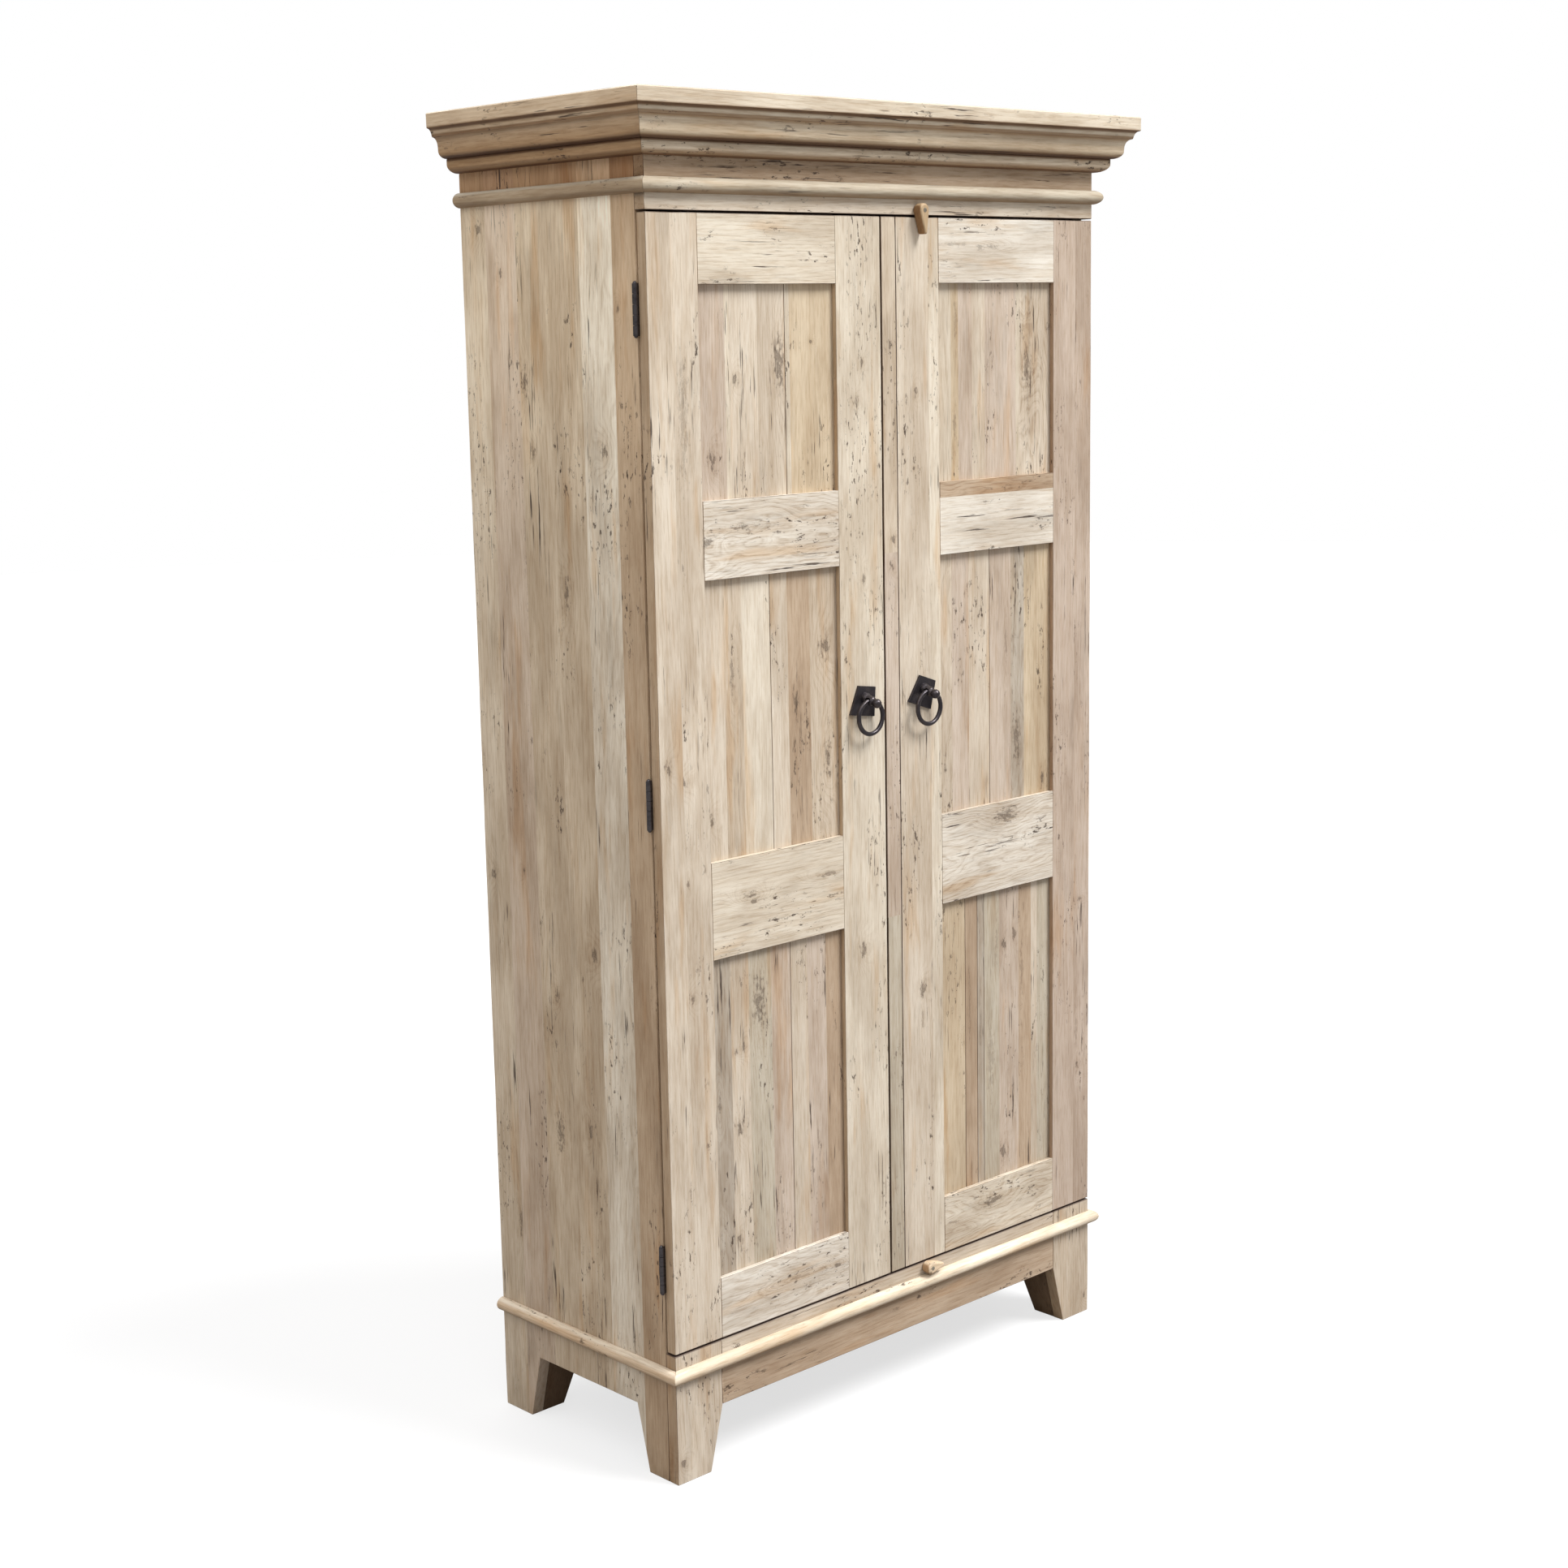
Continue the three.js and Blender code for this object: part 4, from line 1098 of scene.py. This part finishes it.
class ARMOIRE_OT_hinges(Step):
    """Six butt hinges: a frame leaf with its pin, and a door leaf"""

    bl_idname = "armoire.hinges"
    bl_label = "Hinges"

    KNUCKLES = 5
    KNUCKLE = 4.0 * MM
    PIN = 2 * MM
    PIN_PAST = 0.5 * MM
    OUT = 4.3 * MM              # from the side's outer face to the middle of the pin
    BACK = 19.25 * MM           # from the doors' face to the middle of the pin
    TIP = 3.0 * MM
    GAP = 0.15 * MM
    EDGES = (0.6 * MM, 20.6 * MM)           # of a leaf, in from the side's outer face
    FRAME_FACES = (19.5 * MM, 20.5 * MM)    # of the frame's leaf, back from the doors' face
    DOOR_FACES = (18 * MM, 19 * MM)
    SCREWS = ((0.14, -1 * MM), (0.5, 2.5 * MM), (0.86, -1 * MM))    # share of the height, and how far out

    def leaf(self, node, bottom, top, pinned):
        """A leaf with its knuckles and screws. The frame's leaf has the pin, with its round ends."""
        side = math.copysign(1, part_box(node)[0].x)
        centre = (side * (RIGHT + self.OUT), FRONT + self.BACK)
        outer, inner = (side * (RIGHT - edge) for edge in self.EDGES)
        near, far = (FRONT + face for face in (self.FRAME_FACES if pinned else self.DOOR_FACES))
        bm = bmesh.new()
        block(bm, (min(outer, inner), near, bottom), (max(outer, inner), far, top), 0.2 * MM)
        step = (top - bottom) / self.KNUCKLES
        for i in range(0 if pinned else 1, self.KNUCKLES, 2):
            low, high = bottom + i * step + self.GAP, bottom + (i + 1) * step - self.GAP
            cylinder(bm, self.KNUCKLE, low, high, centre, rim=0.5 * MM)
            block(bm, (min(centre[0], outer), near, low), (max(centre[0], outer), far, high))
        if pinned:
            cylinder(bm, self.PIN, bottom - self.PIN_PAST, top + self.PIN_PAST, centre, 20)
            for height in (bottom, top):
                bmesh.ops.create_uvsphere(
                    bm, u_segments=24, v_segments=12, radius=self.TIP,
                    matrix=Matrix.Translation((*centre, height)),
                )
        face, facing = (near, -1) if pinned else (far, 1)
        for i, (up, out) in enumerate(self.SCREWS):
            spot = ((outer + inner) / 2 + side * out, face, bottom + (top - bottom) * up)
            slotted_head(bm, spot, (0, facing, 0), 3.1 * MM, 0.2 * MM, 0.6 + i * 1.1)
        finish_piece(bm, node.replace("_leaf", "_plate"), node, steel_finish(), crease=40)

    def execute(self, context):
        for side in ("left", "right"):
            for height in ("bottom", "middle", "top"):
                hinge = f"{side}_{height}_hinge"
                low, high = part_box(f"{hinge}_frame_leaf")
                for leaf, pinned in (("frame", True), ("door", False)):
                    self.leaf(f"{hinge}_{leaf}_leaf", low.z + self.TIP, high.z - self.TIP, pinned)
        return {"FINISHED"}


class ARMOIRE_OT_ring_pulls(Step):
    """Both forged pulls: a flared plate with its boss, and the ring"""

    bl_idname = "armoire.ring_pulls"
    bl_label = "Ring Pulls"

    WIRE = 3.6 * MM
    HAMMERED = 0.09             # how deeply the hammer has marked the wire, as a share of its radius

    def plate(self, side):
        node = f"{side}_handle_plate"
        bm = cad_copy(node)
        soften(bm, 0.45 * MM, sharper_than=42)
        finish_piece(bm, f"{side}_pull_plate", node, iron_finish(), crease=32)

    def ring(self, side):
        """A round wire swept into a ring, a little uneven."""
        node = f"{side}_ring"
        low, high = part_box(node)
        centre = (low + high) / 2
        radius = (high.x - low.x) / 2 - self.WIRE
        bm = bmesh.new()
        start = Matrix.Translation((centre.x + radius, centre.y, centre.z))
        bmesh.ops.create_circle(bm, segments=18, radius=self.WIRE, matrix=start)
        bmesh.ops.spin(
            bm, geom=bm.verts[:] + bm.edges[:], cent=centre, axis=(0, 1, 0), angle=2 * math.pi, steps=72,
            use_merge=True,
        )
        bmesh.ops.remove_doubles(bm, verts=bm.verts, dist=EXACT)
        for v in bm.verts:
            spoke = Vector((v.co.x - centre.x, 0, v.co.z - centre.z)).normalized() * radius + centre
            v.co = spoke + (v.co - spoke) * (1 - self.HAMMERED * max(0, 0.5 + noise.noise(v.co * 90)))
        bmesh.ops.recalc_face_normals(bm, faces=bm.faces)
        finish_piece(bm, f"{side}_pull_ring", node, iron_finish(), crease=60)

    def execute(self, context):
        for side in ("left", "right"):
            self.plate(side)
            self.ring(side)
        return {"FINISHED"}


class ARMOIRE_OT_turn_buttons(Step):
    """The two oak turn buttons with their screw heads"""

    bl_idname = "armoire.turn_buttons"
    bl_label = "Turn Buttons"

    def execute(self, context):
        joints = {j["child"]: j for j in frame["joints"]}
        for body, tone, way in (("top_button", "honey", "upright"), ("bottom_button", "cream", "level")):
            node = body.replace("button", "turn_button")
            bm = cad_copy(node)
            soften(bm, 1.1 * MM, segments=3, sharper_than=30)
            low, high = extent(bm)
            bmesh.ops.recalc_face_normals(bm, faces=bm.faces)
            label(bm, way, tone, 0.3, 41, low, high)
            finish_piece(bm, f"{body}_block", node, button_oak())

            pivot = Vector(joints[body]["pos_m"])
            bm = bmesh.new()
            slotted_head(bm, (pivot.x, low[1], pivot.z), (0, -1, 0), 3.4 * MM, 0.5 * MM, 0.9)
            finish_piece(bm, f"{body}_screw", node, screw_finish(), replace=False)
        return {"FINISHED"}


class ARMOIRE_OT_studio(Step):
    """Floor, lights and camera"""

    bl_idname = "armoire.studio"
    bl_label = "Studio"

    BOUNCE = (0.30, 0.29, 0.28)
    SHADOW = 0.3                # how much of a shadow on the floor shows
    FLOOR_RADIUS = 16
    LAMPS = (                   # spread in degrees, and the direction that the light comes from
        ("key", 26, (0.42, -0.62, 1.0)),
        ("fill", 60, (-0.75, -0.25, 1.1)),
        ("back", 60, (0.5, 0.9, 0.9)),
    )
    CAMERA_AT = (-2.7161, -2.7724, 1.6735)
    CAMERA_TURN = (-42.11, 10.1, -1.33)     # azimuth, elevation and roll in degrees
    CAMERA_SHIFT = (0.0454, -0.0040)
    LENS = 56.94
    SENSOR = 36

    def lamp(self, name, strength, spread, direction):
        """A distant light from a direction; its spread in degrees softens its shadows."""
        data = bpy.data.lights.new(name, "SUN")
        data.energy = strength
        data.angle = math.radians(spread)
        obj = bpy.data.objects.new(name, data)
        obj.rotation_euler = Vector(direction).to_track_quat("Z", "Y").to_euler()
        bpy.context.scene.collection.objects.link(obj)

    def air(self, horizon, zenith):
        """Light from all round, stronger from above; the air itself looks white."""
        world = bpy.data.worlds.new("Studio air")
        world.use_nodes = True
        t = Tree(world.node_tree)
        soft = world.node_tree.nodes["Background"]
        height = t.split(t.node("ShaderNodeTexCoord").outputs["Generated"])[2]
        t.put(soft.inputs["Strength"], t.ramp(height, 0.0, 0.8, horizon, zenith))
        soft.inputs["Color"].default_value = (1, 1, 1, 1)
        white = t.node("ShaderNodeBackground")
        white.inputs["Color"].default_value = (1, 1, 1, 1)
        pick = t.node("ShaderNodeMixShader")
        t.put(pick.inputs[0], t.node("ShaderNodeLightPath").outputs["Is Camera Ray"])
        t.put(pick.inputs[1], soft.outputs[0])
        t.put(pick.inputs[2], white.outputs[0])
        t.put(world.node_tree.nodes["World Output"].inputs["Surface"], pick.outputs[0])
        bpy.context.scene.world = world

    def floor(self, shade):
        bm = bmesh.new()
        bmesh.ops.create_circle(bm, cap_ends=True, segments=96, radius=self.FLOOR_RADIUS)
        mesh = bpy.data.meshes.new("floor")
        bm.to_mesh(mesh)
        bm.free()
        material, t, shader = blank_material("Studio floor")
        # pale to look at, but it throws less light up, so that the undersides stay dark
        seen = t.node("ShaderNodeLightPath").outputs["Is Camera Ray"]
        t.put(shader.inputs["Base Color"], t.mix(seen, self.BOUNCE, tuple(c * self.SHADOW for c in shade)))
        shader.inputs["Emission Color"].default_value = (1, 1, 1, 1)
        t.put(shader.inputs["Emission Strength"], t.math("MULTIPLY", seen, 1 - self.SHADOW))
        shader.inputs["Roughness"].default_value = 0.9
        shader.inputs["Specular IOR Level"].default_value = 0.1
        mesh.materials.append(material)
        obj = bpy.data.objects.new("floor", mesh)
        bpy.context.scene.collection.objects.link(obj)

    def camera(self):
        azimuth, elevation, roll = (math.radians(angle) for angle in self.CAMERA_TURN)
        level = math.cos(elevation)
        back = Vector((math.sin(azimuth) * level, -math.cos(azimuth) * level, math.sin(elevation)))
        right = Vector((0, 0, 1)).cross(back).normalized()
        up = back.cross(right)
        c, s = math.cos(roll), math.sin(roll)
        right, up = c * right + s * up, c * up - s * right
        data = bpy.data.cameras.new("camera")
        data.sensor_width = self.SENSOR
        data.lens = self.LENS
        data.shift_x, data.shift_y = self.CAMERA_SHIFT
        data.clip_end = 100
        obj = bpy.data.objects.new("camera", data)
        turn = Matrix((right, up, back)).transposed().to_4x4()
        obj.matrix_world = Matrix.Translation(self.CAMERA_AT) @ turn
        bpy.context.scene.collection.objects.link(obj)
        bpy.context.scene.camera = obj

    def execute(self, context):
        studio = settings().studio
        context.scene.view_settings.view_transform = "Standard"
        self.air(studio.horizon, studio.zenith)
        self.floor(studio.floor)
        for name, spread, direction in self.LAMPS:
            self.lamp(name, getattr(studio, name), spread, direction)
        self.camera()
        return {"FINISHED"}


STEPS = (
    ARMOIRE_OT_sides,
    ARMOIRE_OT_back_and_shelves,
    ARMOIRE_OT_front_frame,
    ARMOIRE_OT_mouldings,
    ARMOIRE_OT_door_frames,
    ARMOIRE_OT_door_panels,
    ARMOIRE_OT_hinges,
    ARMOIRE_OT_ring_pulls,
    ARMOIRE_OT_turn_buttons,
    ARMOIRE_OT_studio,
)


class ARMOIRE_PT_panel(bpy.types.Panel):
    """The armoire's settings and steps"""

    bl_idname = "ARMOIRE_PT_panel"
    bl_label = "Armoire"
    bl_space_type = "VIEW_3D"
    bl_region_type = "UI"
    bl_category = "Armoire"

    def draw(self, context):
        layout = self.layout
        for group in (settings().tones, settings().wear, settings().iron, settings().studio):
            box = layout.box()
            for name in group.__annotations__:
                box.prop(group, name)
        for step in STEPS:
            layout.operator(step.bl_idname)


CLASSES = (ArmoireTones, ArmoireWear, ArmoireIron, ArmoireStudio, ArmoireSettings, *STEPS, ARMOIRE_PT_panel)


def register():
    for cls in CLASSES:
        bpy.utils.register_class(cls)
    bpy.types.Scene.armoire = PointerProperty(type=ArmoireSettings)


def unregister():
    del bpy.types.Scene.armoire
    for cls in reversed(CLASSES):
        bpy.utils.unregister_class(cls)


def main():
    register()
    for step in STEPS:
        family, name = step.bl_idname.split(".")
        if getattr(getattr(bpy.ops, family), name)() != {"FINISHED"}:
            raise RuntimeError(f"{step.bl_label} didn't finish")


if __name__ == "__main__":
    main()
